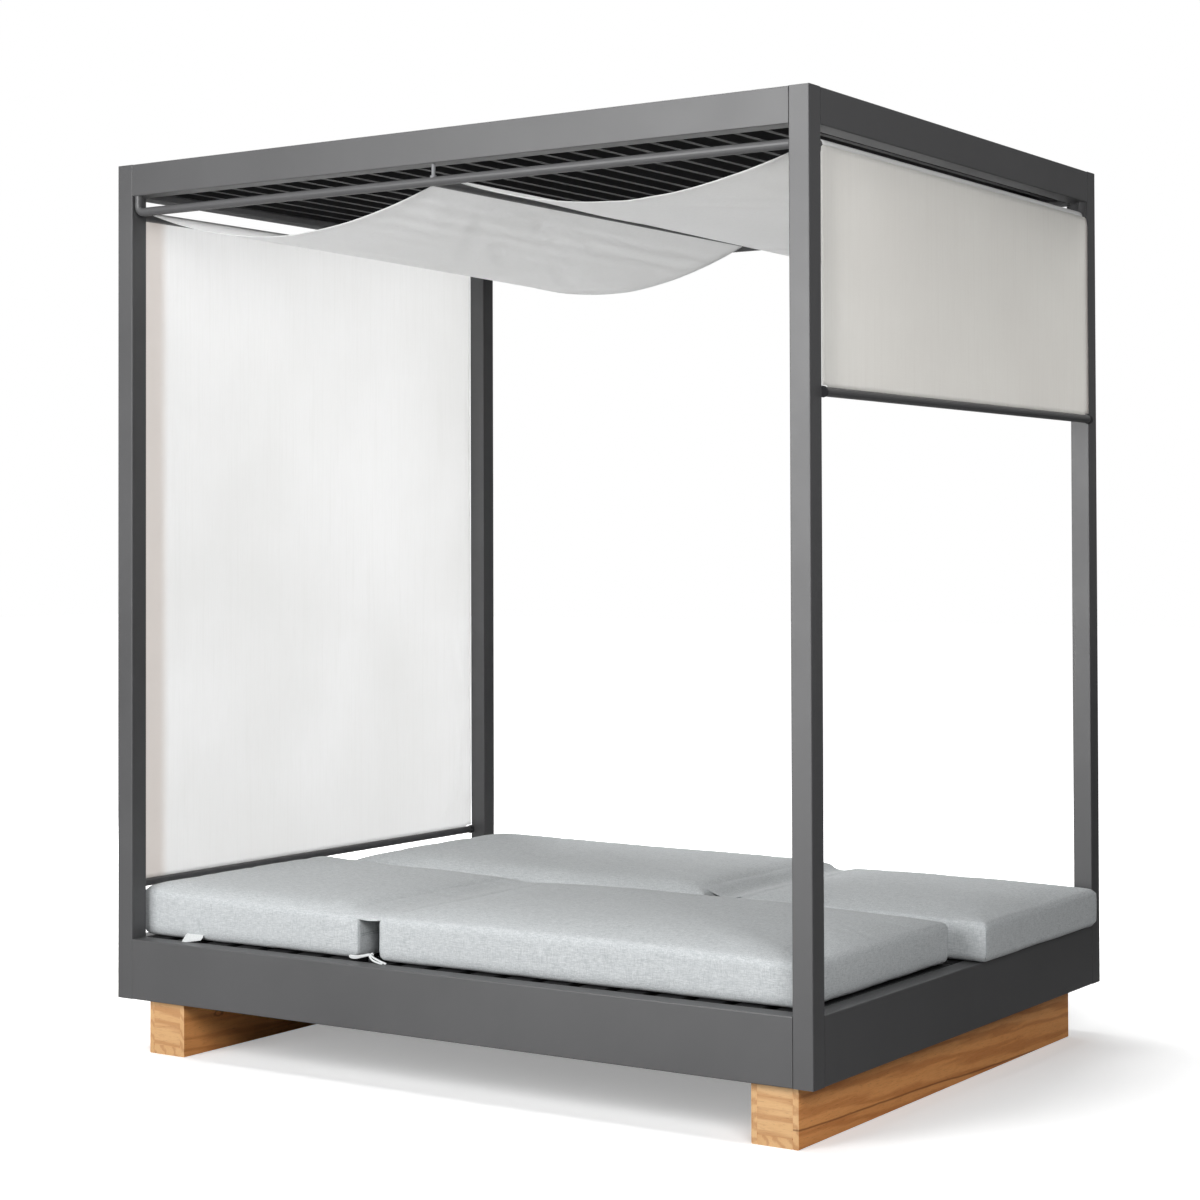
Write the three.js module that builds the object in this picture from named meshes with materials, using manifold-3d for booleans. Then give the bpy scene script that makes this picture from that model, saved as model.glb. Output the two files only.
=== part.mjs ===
// An outdoor daybed: an aluminium box frame on two teak feet, a slat roof, a cloth canopy over rods,
// and two lounger mattresses that lie head to foot on a slatted deck with two back rests that tilt.
// Millimetres. +X runs to the right along the front, +Y to the back, +Z up, and the origin is on the
// floor below the centre of the frame.
import * as THREE from 'three';
import Module from 'manifold-3d';
import { mergeVertices } from 'three/addons/utils/BufferGeometryUtils.js';

// Frame
const frameLength = 2000;
const frameDepth = 1530;
const frameHeight = 2100;
const postSide = 50;
const baseBeamHeight = 150;
const topBeamHeight = 80;
const tubeWall = 3;
const tubeCorner = 2.5;
const touchGap = 0.3; // left between two pieces that touch
const weldTolerance = 0.001;
const cutOverrun = 2; // what a cutting tool reaches past the piece

// Teak feet
const footHeight = 132;
const footWidth = 115;
const footFrontInset = 20;
const footBackInset = 98;
const leftFootInset = 93; // from the frame's left side to the foot
const rightFootInset = 47;
const footSideBoard = 14;
const footBottomBoard = 22;
const footEndPanel = 18;
const boardEase = 1.5; // eased long edges of the boards

// Deck
const slatWidth = 70;
const slatThickness = 14;
const slatChamfer = 2;
const slatWall = 1.8;
const rowGap = 6; // between the slats of the two rows
const deckEndClearance = 2;
const bearerWidth = 80;
const railWidth = 8;
const railHeight = 40;
const seatRailInset = 65; // from the row's edge to a rail's middle
const seatSlatCounts = [12, 13]; // front row, back row
const hingeGapSeat = 40; // from the hinge line to the first seat slat

// Back rests
const backSlatCounts = [7, 6];
const backRailInset = 14; // from a seat rail's middle to a back rest rail's middle
const hingeGapBack = 10; // from the hinge line to the last back rest slat
const hingeRodRadius = 4;
const earRadius = 6.8;
const runningGap = 0.3;
const propRadius = 5;
const propFootLap = 35; // the flat prop's foot lies this far in from the bearer's edge
const propBend = 15;
const propArmInset = 26; // from a back rest rail's middle to an arm's axis
const rackBarInset = 50; // from an arm's axis to a notched bar's middle
const rackReach = 14; // the rack begins this far before the prop's foot
const rackTravel = 156;
const rackBarThickness = 8;
const rackToothCount = 5;
const rackToothHeight = 9;
const rackRunGap = 3; // the prop's foot runs this far above the teeth
const rackHeelDrop = 28; // the bars reach this far down beside the bearer
const rackStripWidth = 40;

// Roof
const roofSlatCount = 26;
const roofSlatWidth = 16;
const roofSlatHeight = 44;
const roofRailWidth = 22;
const roofRailLap = 1; // the end rails stand this far past the slats above and below
const roofLift = 9; // the roof's underside above the top beams' underside

// Canopy rods
const rodRadius = 11;
const rodSides = 16;
const rodInset = 12; // from the frame's outer face to a rod's axis
const rodDrop = 41; // from the top beams' underside to the rods' axes
const rodBend = 16;
const elbowClearance = 1; // between an elbow and the post beside it
const bendSteps = 5;
const hangerRadius = 4.6;
const hangerCollarRadius = 8;
const hangerCollar = 4;

// Screen rods
const screenRodRadius = 10.3;
const screenRodWall = 2;
const capRadius = 12.5;
const capDisc = 6;
const capTaper = 6;
const spigotLength = 14;
const leftScreenLift = 128; // from the deck's top to the left screen rod's axis
const rightScreenDrop = 522; // from the canopy rods' axes to the right screen rod's axis

// Cloth
const clothThickness = 1.6;
const clothGap = 0.3;
const clothEdgeInset = 58; // from the frame's outer face to the cloth's edge
const clothElbowInset = 86; // the same where a rod turns up
const slotClearance = 0.4;
const clothInSlot = 1.8;
const screenEdgeInset = 66;
const swagSags = [[92, 118], [86, 114]]; // left and right swag, each at the front and at the back
const swagSteps = 14;
const wrapSteps = 5;
const roofClothSteps = 8;
const screenClothSteps = 20;
const screenDropSteps = 12;
const screenRipple = 3.5;
const screenRippleCount = 5;

// Cushions
const cushionGap = 56;
const cushionEdgeHeight = 100;
const cushionCrown = 18;
const backCushionStarts = [44, -12]; // from the frame's end to the back cushion, front row and back row
const backCushionEnds = [744, 680];
const seatCushionInsets = [50, 114]; // from the frame's other end to the seat cushion
const cushionFrontInset = 62;
const cushionMiddleGap = 16; // between the two rows of cushions
const cushionCorner = 28;
const cushionTopEdge = 26;
const cushionBottomEdge = 16;
const cushionBulge = 6;
const cushionRest = 0.3;
const hingeUnderCushion = 20; // the hinge line lies this far under the back cushion's end
const foldStripThickness = 2.5;
const foldStripLap = 24;
const foldStripInset = 10;
const foldStripSag = 3;

// Tapes on the deck, as places from the frame's left end and front face
const tapeThickness = 1.5;
const tieTape = [
  [720, 52], [726, 46], [764, 56], [832, 34], [842, 40], [768, 64], [760, 65],
];
const cushionTab = [[186, 34], [236, 42], [224, 70], [174, 62]];

// Shares and counts of the forms
const sectionSteps = 3;
const cornerSteps = 4;
const sideSteps = 5;
const crownShares = [0.12, 0.3, 0.58, 0.86];
const bottomFlatShare = 0.7;
const roundingShare = 1e-9;
const toothTopShare = 0.75;
const swagEdgeShare = 0.28; // the stretch beside an elbow over which the cloth's edge comes out

// Levels and faces worked out from the sizes above
const left = -frameLength / 2;
const right = frameLength / 2;
const front = -frameDepth / 2;
const back = frameDepth / 2;
const frameBottom = footHeight;
const frameTop = footHeight + frameHeight;
const deckTop = frameBottom + baseBeamHeight;
const slatBottom = deckTop - slatThickness;
const hingeHeight = deckTop - earRadius - runningGap / 2;
const bearerTop = slatBottom - railHeight - touchGap;
const propHeight = slatBottom - railHeight / 2;
const topBeamBottom = frameTop - topBeamHeight;
const rodHeight = topBeamBottom - rodDrop;
const rowFront = front + postSide + deckEndClearance;
const rowBack = -rowGap / 2;
const rowMiddle = (rowFront + rowBack) / 2;
const cushionWidth = -cushionMiddleGap / 2 - front - cushionFrontInset;
const seatRailOffset = (rowBack - rowFront) / 2 - seatRailInset; // all four from the row's middle
const backRailOffset = seatRailOffset - backRailInset;
const propArmOffset = backRailOffset - propArmInset;
const rackBarOffset = propArmOffset - rackBarInset;
const leftScreenDrop = rodHeight - deckTop - leftScreenLift;
const deckEnd = right - postSide - deckEndClearance;
const beamFace = back - postSide - touchGap; // where a piece between the long beams ends

const wasm = await Module();
wasm.setup();

const daybed = new THREE.Group();
const opposite = new THREE.Group(); // the same layout turned half round, for the other corner or row
opposite.rotation.z = Math.PI;
daybed.add(opposite);

// Materials
const powder = { color: 0x55565a, roughness: 0.62, metalness: 0.35 };
const darkPowder = { color: 0x2e2e31, roughness: 0.65, metalness: 0.3 };
const steel = { color: 0x8c8e91, roughness: 0.4, metalness: 0.8 };
const rubber = { color: 0x1b1b1d, roughness: 0.8, metalness: 0 };
const teak = { color: 0xc08a52, roughness: 0.7, metalness: 0 };
const canvas = { color: 0xdedbd5, roughness: 0.95, metalness: 0 };
const upholstery = { color: 0xb9c0c2, roughness: 0.98, metalness: 0 };

function addPiece(parent, name, shape, look) {
  const geometry = shape.isBufferGeometry ? shape : geometryOf(shape);
  const mesh = new THREE.Mesh(geometry, new THREE.MeshStandardMaterial(look));
  mesh.name = name;
  parent.add(mesh);
  return mesh;
}

// Solids and meshes for cutting and joining
function solidOf(geometry) {
  const bare = geometry.clone();
  bare.deleteAttribute('normal');
  bare.deleteAttribute('uv');
  const merged = mergeVertices(bare, weldTolerance);
  const vertProperties = merged.attributes.position.array;
  const triVerts = new Uint32Array(merged.index.array);
  return new wasm.Manifold(new wasm.Mesh({ numProp: 3, vertProperties, triVerts }));
}

function geometryOf(solid) {
  const { vertProperties, triVerts } = solid.getMesh();
  const geometry = new THREE.BufferGeometry();
  geometry.setAttribute('position', new THREE.BufferAttribute(vertProperties, 3));
  geometry.setIndex(new THREE.BufferAttribute(triVerts, 1));
  geometry.computeVertexNormals();
  return geometry;
}

function joined(pieces) {
  return pieces.map(solidOf).reduce((whole, piece) => whole.add(piece));
}

// Outlines
const axes = {
  x: [new THREE.Vector3(0, 1, 0), new THREE.Vector3(0, 0, 1), new THREE.Vector3(1, 0, 0)],
  y: [new THREE.Vector3(1, 0, 0), new THREE.Vector3(0, 0, 1), new THREE.Vector3(0, -1, 0)],
  z: [new THREE.Vector3(1, 0, 0), new THREE.Vector3(0, 1, 0), new THREE.Vector3(0, 0, 1)],
};

// An outline drawn in the two other directions (Y and Z, X and Z, X and Y), from low to high.
function prism(outline, axis, low, high) {
  const geometry = new THREE.ExtrudeGeometry(outline, {
    depth: high - low,
    bevelEnabled: false,
    curveSegments: sectionSteps,
  });
  geometry.applyMatrix4(new THREE.Matrix4().makeBasis(...axes[axis]));
  const start = axis === 'y' ? high : low;
  const shift = new THREE.Vector3();
  shift[axis] = start;
  return geometry.translate(shift.x, shift.y, shift.z);
}

function points(pairs) {
  return pairs.map(([a, b]) => new THREE.Vector2(a, b));
}

function rectangle(a0, a1, b0, b1) {
  return new THREE.Shape(points([[a0, b0], [a1, b0], [a1, b1], [a0, b1]]));
}

function roundedRectangle(a0, a1, b0, b1, radius) {
  const shape = new THREE.Shape();
  shape.moveTo(a0 + radius, b0);
  shape.lineTo(a1 - radius, b0);
  shape.absarc(a1 - radius, b0 + radius, radius, -Math.PI / 2, 0);
  shape.absarc(a1 - radius, b1 - radius, radius, 0, Math.PI / 2);
  shape.absarc(a0 + radius, b1 - radius, radius, Math.PI / 2, Math.PI);
  shape.absarc(a0 + radius, b0 + radius, radius, -Math.PI, -Math.PI / 2);
  return shape;
}

function chamferedRectangle(a0, a1, b0, b1, cut) {
  return new THREE.Shape(points([
    [a0 + cut, b0], [a1 - cut, b0], [a1, b0 + cut], [a1, b1 - cut],
    [a1 - cut, b1], [a0 + cut, b1], [a0, b1 - cut], [a0, b0 + cut],
  ]));
}

function tubeSection(a0, a1, b0, b1, wall) {
  const shape = roundedRectangle(a0, a1, b0, b1, tubeCorner);
  shape.holes.push(rectangle(a0 + wall, a1 - wall, b0 + wall, b1 - wall));
  return shape;
}

function circlePoints(radius, sides) {
  const corners = [];
  for (let i = 0; i < sides; i += 1) {
    const turn = ((i + 0.5) / sides) * 2 * Math.PI;
    corners.push(new THREE.Vector2(radius * Math.cos(turn), radius * Math.sin(turn)));
  }
  return corners;
}

function disc(radius, sides) {
  return new THREE.Shape(circlePoints(radius, sides));
}

function box(x0, x1, y0, y1, z0, z1) {
  return prism(rectangle(x0, x1, y0, y1), 'z', z0, z1);
}

// A run of straight stretches with round bends, followed by a rod's section.
class BentLine extends THREE.Curve {
  constructor(stops) {
    super();
    this.stops = stops;
  }

  getPoint(share) {
    const last = this.stops.length - 1;
    const at = Math.min(Math.floor(share * last + roundingShare), last - 1);
    return this.stops[at].clone().lerp(this.stops[at + 1], share * last - at);
  }

  getPointAt(share) {
    return this.getPoint(share);
  }

  getTangentAt(share) {
    const last = this.stops.length - 1;
    const at = Math.round(share * last);
    const ahead = this.stops[Math.min(at + 1, last)];
    const behind = this.stops[Math.max(at - 1, 0)];
    return ahead.clone().sub(behind).normalize();
  }
}

// The corners are square turns, and each gets an arc of the bend's radius.
function bentRod(corners, radius, bend, sides) {
  const stops = [corners[0]];
  for (let i = 1; i < corners.length - 1; i += 1) {
    const into = corners[i].clone().sub(corners[i - 1]).normalize();
    const out = corners[i + 1].clone().sub(corners[i]).normalize();
    const centre = corners[i].clone().addScaledVector(into, -bend).addScaledVector(out, bend);
    for (let step = 0; step <= bendSteps; step += 1) {
      const turn = (step / bendSteps) * (Math.PI / 2);
      stops.push(centre.clone()
        .addScaledVector(into, bend * Math.sin(turn))
        .addScaledVector(out, -bend * Math.cos(turn)));
    }
  }
  stops.push(corners[corners.length - 1]);
  return new THREE.ExtrudeGeometry(disc(radius, sides), {
    steps: stops.length - 1,
    extrudePath: new BentLine(stops),
  });
}

// Posts: square tubes, closed at the top
function post(name, x0, y0) {
  const x1 = x0 + postSide;
  const y1 = y0 + postSide;
  const whole = solidOf(prism(roundedRectangle(x0, x1, y0, y1, tubeCorner), 'z', frameBottom, frameTop));
  const bore = box(x0 + tubeWall, x1 - tubeWall, y0 + tubeWall, y1 - tubeWall,
    frameBottom - cutOverrun, frameTop - tubeWall);
  addPiece(daybed, name, whole.subtract(solidOf(bore)), powder);
}

// Beams: tubes butted between the posts
function beamRing(label, low, high) {
  const xEnd = right - postSide - touchGap;
  const sides = [
    ['front', 'x', front, -xEnd, xEnd],
    ['back', 'x', back - postSide, -xEnd, xEnd],
    ['left', 'y', left, -beamFace, beamFace],
    ['right', 'y', right - postSide, -beamFace, beamFace],
  ];
  for (const [side, axis, face, from, to] of sides) {
    const section = tubeSection(face, face + postSide, low, high, tubeWall);
    addPiece(daybed, `${label}_beam_${side}`, prism(section, axis, from, to), powder);
  }
}

// Feet: two side boards, a bottom board and an end panel at each end
function foot(label, middle) {
  const x0 = middle - footWidth / 2;
  const x1 = x0 + footWidth;
  const y0 = front + footFrontInset;
  const y1 = back - footBackInset;
  const inner0 = x0 + footSideBoard + touchGap;
  const inner1 = x1 - footSideBoard - touchGap;
  const top = footHeight - touchGap;
  const sides = [['left', x0], ['right', x1 - footSideBoard]];
  for (const [side, x] of sides) {
    const section = chamferedRectangle(x, x + footSideBoard, 0, top, boardEase);
    addPiece(daybed, `${label}_foot_${side}_board`, prism(section, 'y', y0, y1), teak);
  }
  const bottom = chamferedRectangle(inner0, inner1, 0, footBottomBoard, boardEase);
  addPiece(daybed, `${label}_foot_bottom_board`, prism(bottom, 'y', y0, y1), teak);
  const panel = chamferedRectangle(inner0, inner1, footBottomBoard + touchGap, top, boardEase);
  addPiece(daybed, `${label}_foot_front_panel`, prism(panel, 'y', y0, y0 + footEndPanel), teak);
  addPiece(daybed, `${label}_foot_back_panel`, prism(panel, 'y', y1 - footEndPanel, y1), teak);
}

// Cross bearers: tubes between the long beams, one on each foot and one at mid-length
function crossBearer(side, x) {
  const half = bearerWidth / 2;
  const section = tubeSection(x - half, x + half, frameBottom, bearerTop, tubeWall);
  addPiece(daybed, `cross_bearer_${side}`, prism(section, 'y', -beamFace, beamFace), darkPowder);
}

// Deck: slats on two rails, whose ears rise between the slats and carry the hinge rod
function slats(x0, x1, count) {
  const pitch = (x1 - x0 - slatWidth) / (count - 1);
  const made = [];
  for (let i = 0; i < count; i += 1) {
    const x = x0 + i * pitch;
    const section = chamferedRectangle(x, x + slatWidth, slatBottom, deckTop, slatChamfer);
    const inner = [x + slatWall, x + slatWidth - slatWall, slatBottom + slatWall, deckTop - slatWall];
    section.holes.push(rectangle(...inner));
    made.push(prism(section, 'y', rowFront, rowBack));
  }
  return made;
}

function bothSides(offset) {
  return [rowMiddle - offset, rowMiddle + offset];
}

// A rail from its far end to the hinge line, with a sloped nose and a round ear
function rail(farX, hingeX, y) {
  const facing = Math.sign(hingeX - farX);
  const noseX = hingeX - facing * (earRadius + railHeight / 2);
  const outline = new THREE.Shape();
  outline.moveTo(farX, slatBottom - railHeight);
  outline.lineTo(noseX, slatBottom - railHeight);
  outline.lineTo(hingeX + facing * earRadius, slatBottom - railHeight / 4);
  outline.lineTo(hingeX + facing * earRadius, hingeHeight);
  const turns = facing > 0 ? [0, Math.PI] : [Math.PI, 0];
  outline.absarc(hingeX, hingeHeight, earRadius, ...turns, facing < 0);
  outline.lineTo(hingeX - facing * earRadius, slatBottom + slatWall / 2);
  outline.lineTo(farX, slatBottom + slatWall / 2);
  return prism(outline, 'y', y - railWidth / 2, y + railWidth / 2);
}

function crossBore(radius, x, z) {
  const bore = prism(disc(radius + runningGap, rodSides), 'y', rowFront, rowBack);
  return solidOf(bore.translate(x, 0, z));
}

function seatDeck(parent, name, hingeX, count) {
  const rails = bothSides(seatRailOffset).map((y) => rail(deckEnd, hingeX, y));
  const whole = joined([...slats(hingeX + hingeGapSeat, deckEnd, count), ...rails]);
  addPiece(parent, name, whole.subtract(crossBore(hingeRodRadius, hingeX, hingeHeight)), darkPowder);
}

function backRest(parent, name, hingeX, count, propLength) {
  const rails = bothSides(backRailOffset).map((y) => rail(-deckEnd, hingeX, y));
  const whole = joined([...slats(-deckEnd, hingeX - hingeGapBack, count), ...rails])
    .subtract(crossBore(hingeRodRadius, hingeX, hingeHeight))
    .subtract(crossBore(propRadius, hingeX - propLength, propHeight));
  addPiece(parent, name, whole, darkPowder);
}

function hingeRod(parent, name, hingeX) {
  const [y0, y1] = bothSides(seatRailOffset + railWidth / 2);
  const rod = prism(disc(hingeRodRadius, rodSides), 'y', y0, y1).translate(hingeX, 0, hingeHeight);
  addPiece(parent, name, rod, steel);
}

// The prop is a bail: its ends turn out into the rails, and its cross bar stands in the rack
function prop(parent, name, hingeX, propLength) {
  const pivotX = hingeX - propLength;
  const footX = pivotX - propLength;
  const [arm0, arm1] = bothSides(propArmOffset);
  const [end0, end1] = bothSides(backRailOffset + railWidth / 2);
  const corners = [
    [pivotX, end0], [pivotX, arm0], [footX, arm0],
    [footX, arm1], [pivotX, arm1], [pivotX, end1],
  ].map(([x, y]) => new THREE.Vector3(x, y, propHeight));
  addPiece(parent, name, bentRod(corners, propRadius, propBend, rodSides / 2), steel);
}

// The rack: two notched bars over the bearer's edge, joined by a strip
function notchedBar(x0, heelX, y) {
  const top = propHeight - propRadius - rackRunGap;
  const end = x0 + rackReach + rackTravel;
  const heelEnd = end - rackReach;
  const outline = [
    [x0, bearerTop + touchGap], [heelX, bearerTop + touchGap], [heelX, bearerTop - rackHeelDrop],
    [heelX + rackHeelDrop, bearerTop - rackHeelDrop], [heelEnd, bearerTop - rackToothHeight],
    [end, bearerTop], [end, top],
  ];
  const pitch = rackTravel / rackToothCount;
  const root = top - rackToothHeight;
  for (let i = rackToothCount - 1; i >= 0; i -= 1) {
    const x = x0 + rackReach + i * pitch;
    outline.push([x + pitch * toothTopShare, top], [x + pitch / 2, root], [x, root], [x, top]);
  }
  outline.push([x0, top]);
  return prism(new THREE.Shape(points(outline)), 'y', y - rackBarThickness / 2, y + rackBarThickness / 2);
}

function propRack(parent, name, bearerEdge) {
  const x0 = bearerEdge - propFootLap - propRadius - rackReach;
  const heelX = bearerEdge + touchGap;
  const bars = bothSides(rackBarOffset).map((y) => notchedBar(x0, heelX, y));
  const base = bearerTop + touchGap;
  const [y0, y1] = bothSides(rackBarOffset);
  const strip = box(x0, x0 + rackStripWidth, y0, y1, base,
    propHeight - propRadius - rackRunGap - rackToothHeight);
  addPiece(parent, name, joined([strip, ...bars]), darkPowder);
}

// Roof: slats on edge between two end rails
function roofPanel() {
  const bottom = topBeamBottom + roofLift;
  const top = bottom + roofSlatHeight;
  const x1 = right - postSide - touchGap;
  const pitch = (2 * x1) / roofSlatCount;
  const pieces = [[-beamFace, -beamFace + roofRailWidth], [beamFace - roofRailWidth, beamFace]]
    .map(([y0, y1]) => box(-x1, x1, y0, y1, bottom - roofRailLap, top + roofRailLap));
  for (let i = 0; i < roofSlatCount; i += 1) {
    const x = (i + 0.5) * pitch - x1 - roofSlatWidth / 2;
    const end = beamFace - roofRailWidth / 2;
    pieces.push(box(x, x + roofSlatWidth, -end, end, bottom, top));
  }
  addPiece(daybed, 'roof_slat_panel', joined(pieces), darkPowder);
}

// Canopy rods: one end straight at a post, the other turned up to the beam
function canopyRods(parent, longName, shortName) {
  const elbow = postSide + elbowClearance + rodRadius;
  const top = topBeamBottom - touchGap;
  const longEnd = right - postSide - touchGap;
  const longY = front + rodInset;
  const longRod = [
    new THREE.Vector3(longEnd, longY, rodHeight),
    new THREE.Vector3(left + elbow, longY, rodHeight),
    new THREE.Vector3(left + elbow, longY, top),
  ];
  addPiece(parent, longName, bentRod(longRod, rodRadius, rodBend, rodSides), powder);
  const shortX = left + rodInset;
  const shortRod = [
    new THREE.Vector3(shortX, beamFace, rodHeight),
    new THREE.Vector3(shortX, front + elbow, rodHeight),
    new THREE.Vector3(shortX, front + elbow, top),
  ];
  addPiece(parent, shortName, bentRod(shortRod, rodRadius, rodBend, rodSides), powder);
}

function crossCut(y) {
  const saddle = prism(disc(rodRadius + touchGap, rodSides), 'x', -rodRadius * 2, rodRadius * 2);
  return solidOf(saddle.translate(0, y, rodHeight));
}

function lengthCut(y) {
  const saddle = prism(disc(rodRadius + touchGap, rodSides), 'y', y - rodRadius, y + rodRadius);
  return solidOf(saddle.translate(0, 0, rodHeight));
}

function middleRod() {
  const y = back - rodInset;
  const rod = solidOf(prism(disc(rodRadius, rodSides), 'y', -y, y).translate(0, 0, rodHeight));
  addPiece(daybed, 'canopy_rod_middle', rod.subtract(crossCut(y)).subtract(crossCut(-y)), powder);
}

function hanger(parent, name) {
  const y = front + rodInset;
  const top = topBeamBottom - touchGap;
  const collarTop = rodHeight + rodRadius + hangerCollar;
  const profile = points([
    [0, rodHeight], [hangerCollarRadius, rodHeight], [hangerCollarRadius, collarTop - hangerCollar / 2],
    [hangerRadius, collarTop], [hangerRadius, top], [0, top],
  ]);
  const pin = new THREE.LatheGeometry(profile, rodSides).rotateX(Math.PI / 2).translate(0, y, 0);
  addPiece(parent, name, solidOf(pin).subtract(crossCut(y)).subtract(lengthCut(y + rodRadius)), steel);
}

// Screen rods: slotted tubes that hold a screen's lower edge, with a plug cap at each end
function screenRod(parent, label, drop) {
  const z = rodHeight - drop;
  const x = screenX();
  const end = beamFace - capDisc - capTaper;
  const ring = disc(screenRodRadius, rodSides);
  ring.holes.push(new THREE.Path(circlePoints(screenRodRadius - screenRodWall, rodSides)));
  const tube = solidOf(prism(ring, 'y', -end, end).translate(x, 0, z));
  const halfSlot = clothThickness / 2 + slotClearance;
  const slot = box(x - halfSlot, x + halfSlot, -end - cutOverrun, end + cutOverrun,
    z, z + screenRodRadius + cutOverrun);
  addPiece(parent, `${label}_screen_rod`, tube.subtract(solidOf(slot)), powder);
  const spigot = screenRodRadius - screenRodWall - touchGap;
  const tail = -capDisc - capTaper - spigotLength;
  const profile = points([
    [0, tail], [spigot, tail], [spigot, -capDisc - capTaper + touchGap],
    [screenRodRadius, -capDisc - capTaper + touchGap],
    [capRadius, -capDisc], [capRadius, 0], [0, 0],
  ]);
  for (const [side, facing] of [['front', -1], ['back', 1]]) {
    const cap = new THREE.LatheGeometry(profile, rodSides);
    if (facing < 0) cap.rotateX(Math.PI);
    cap.translate(x, facing * beamFace, z);
    addPiece(parent, `${label}_rod_cap_${side}`, cap, rubber);
  }
}

// Cloth: the screens hang just outside the side rods, and the roof cloth lies over all three rods
function screenX() {
  return left + rodInset - rodRadius - clothGap - clothThickness / 2;
}

// A closed skin round a grid of middle points
function sheet(rows) {
  const count = rows.length;
  const width = rows[0].length;
  const at = (i, j) => rows[Math.min(Math.max(i, 0), count - 1)][Math.min(Math.max(j, 0), width - 1)];
  const position = [];
  for (const side of [1, -1]) {
    for (let i = 0; i < count; i += 1) {
      for (let j = 0; j < width; j += 1) {
        const along = at(i + 1, j).clone().sub(at(i - 1, j));
        const across = at(i, j + 1).clone().sub(at(i, j - 1));
        const lift = along.cross(across).normalize().multiplyScalar((side * clothThickness) / 2);
        position.push(...at(i, j).clone().add(lift).toArray());
      }
    }
  }
  const under = count * width; // the number of the first point on the other side
  const faces = [];
  for (let i = 0; i < count - 1; i += 1) {
    for (let j = 0; j < width - 1; j += 1) {
      const a = i * width + j;
      const b = under + a;
      faces.push(a, a + width, a + 1, a + 1, a + width, a + width + 1);
      faces.push(b, b + 1, b + width, b + 1, b + width + 1, b + width);
    }
  }
  const rim = [];
  for (let j = 0; j < width - 1; j += 1) rim.push(j);
  for (let i = 0; i < count - 1; i += 1) rim.push(i * width + width - 1);
  for (let j = width - 1; j > 0; j -= 1) rim.push((count - 1) * width + j);
  for (let i = count - 1; i > 0; i -= 1) rim.push(i * width);
  rim.forEach((a, k) => {
    const b = rim[(k + 1) % rim.length];
    faces.push(a, b, under + a, b, under + b, under + a);
  });
  const geometry = new THREE.BufferGeometry();
  geometry.setAttribute('position', new THREE.Float32BufferAttribute(position, 3));
  geometry.setIndex(faces);
  geometry.computeVertexNormals();
  return geometry;
}

// The roof cloth's line from the left rod over the middle rod to the right rod, in X and Z
function roofLine(sags) {
  const reach = rodRadius + clothGap + clothThickness / 2;
  const outer = right - rodInset;
  const centres = [-outer, 0, outer];
  const line = [];
  let arrive = Math.PI;
  centres.forEach((x, k) => {
    const slope = k < 2 ? Math.atan((4 * sags[k]) / outer) : Math.PI / 2;
    const leave = Math.PI / 2 - slope;
    for (let i = 0; i <= wrapSteps; i += 1) {
      const turn = arrive + (leave - arrive) * (i / wrapSteps);
      line.push([x + reach * Math.cos(turn), rodHeight + reach * Math.sin(turn)]);
    }
    if (k === 2) return;
    const start = [x + reach * Math.cos(leave), rodHeight + reach * Math.sin(leave)];
    const span = outer - 2 * reach * Math.cos(leave);
    for (let i = 1; i < swagSteps; i += 1) {
      const share = i / swagSteps;
      line.push([start[0] + span * share, start[1] - 4 * sags[k] * share * (1 - share)]);
    }
    arrive = Math.PI - leave;
  });
  return line;
}

// The cloth's edges stand back beside the two elbows
function roofClothEdge(x) {
  const near = (x - left) / (frameLength * swagEdgeShare);
  const ease = Math.max(0, 1 - near);
  return back - clothEdgeInset - (clothElbowInset - clothEdgeInset) * ease * ease;
}

function roofCloth() {
  const rows = [];
  for (let j = 0; j <= roofClothSteps; j += 1) {
    const share = j / roofClothSteps;
    const sags = swagSags.map(([near, far]) => near + (far - near) * share);
    rows.push(roofLine(sags).map(([x, z]) => {
      const nearEdge = -roofClothEdge(x);
      const farEdge = roofClothEdge(-x);
      return new THREE.Vector3(x, nearEdge + (farEdge - nearEdge) * share, z);
    }));
  }
  addPiece(daybed, 'canopy_roof_cloth', sheet(rows.map((row) => row.reverse())), canvas);
}

function screenCloth(parent, label, drop, ripplePhase) {
  const top = rodHeight - clothGap;
  const bottom = rodHeight - drop + screenRodRadius - clothInSlot;
  const edge = back - screenEdgeInset;
  const rows = [];
  for (let i = 0; i <= screenDropSteps; i += 1) {
    const down = i / screenDropSteps;
    const row = [];
    for (let j = 0; j <= screenClothSteps; j += 1) {
      const along = j / screenClothSteps;
      const wave = Math.sin(2 * Math.PI * screenRippleCount * along + ripplePhase * down);
      const swell = screenRipple * Math.sin(Math.PI * down) * wave;
      row.push(new THREE.Vector3(screenX() + swell, edge * (2 * along - 1), top + (bottom - top) * down));
    }
    rows.push(row);
  }
  addPiece(parent, `${label}_screen_cloth`, sheet(rows), canvas);
}

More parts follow.
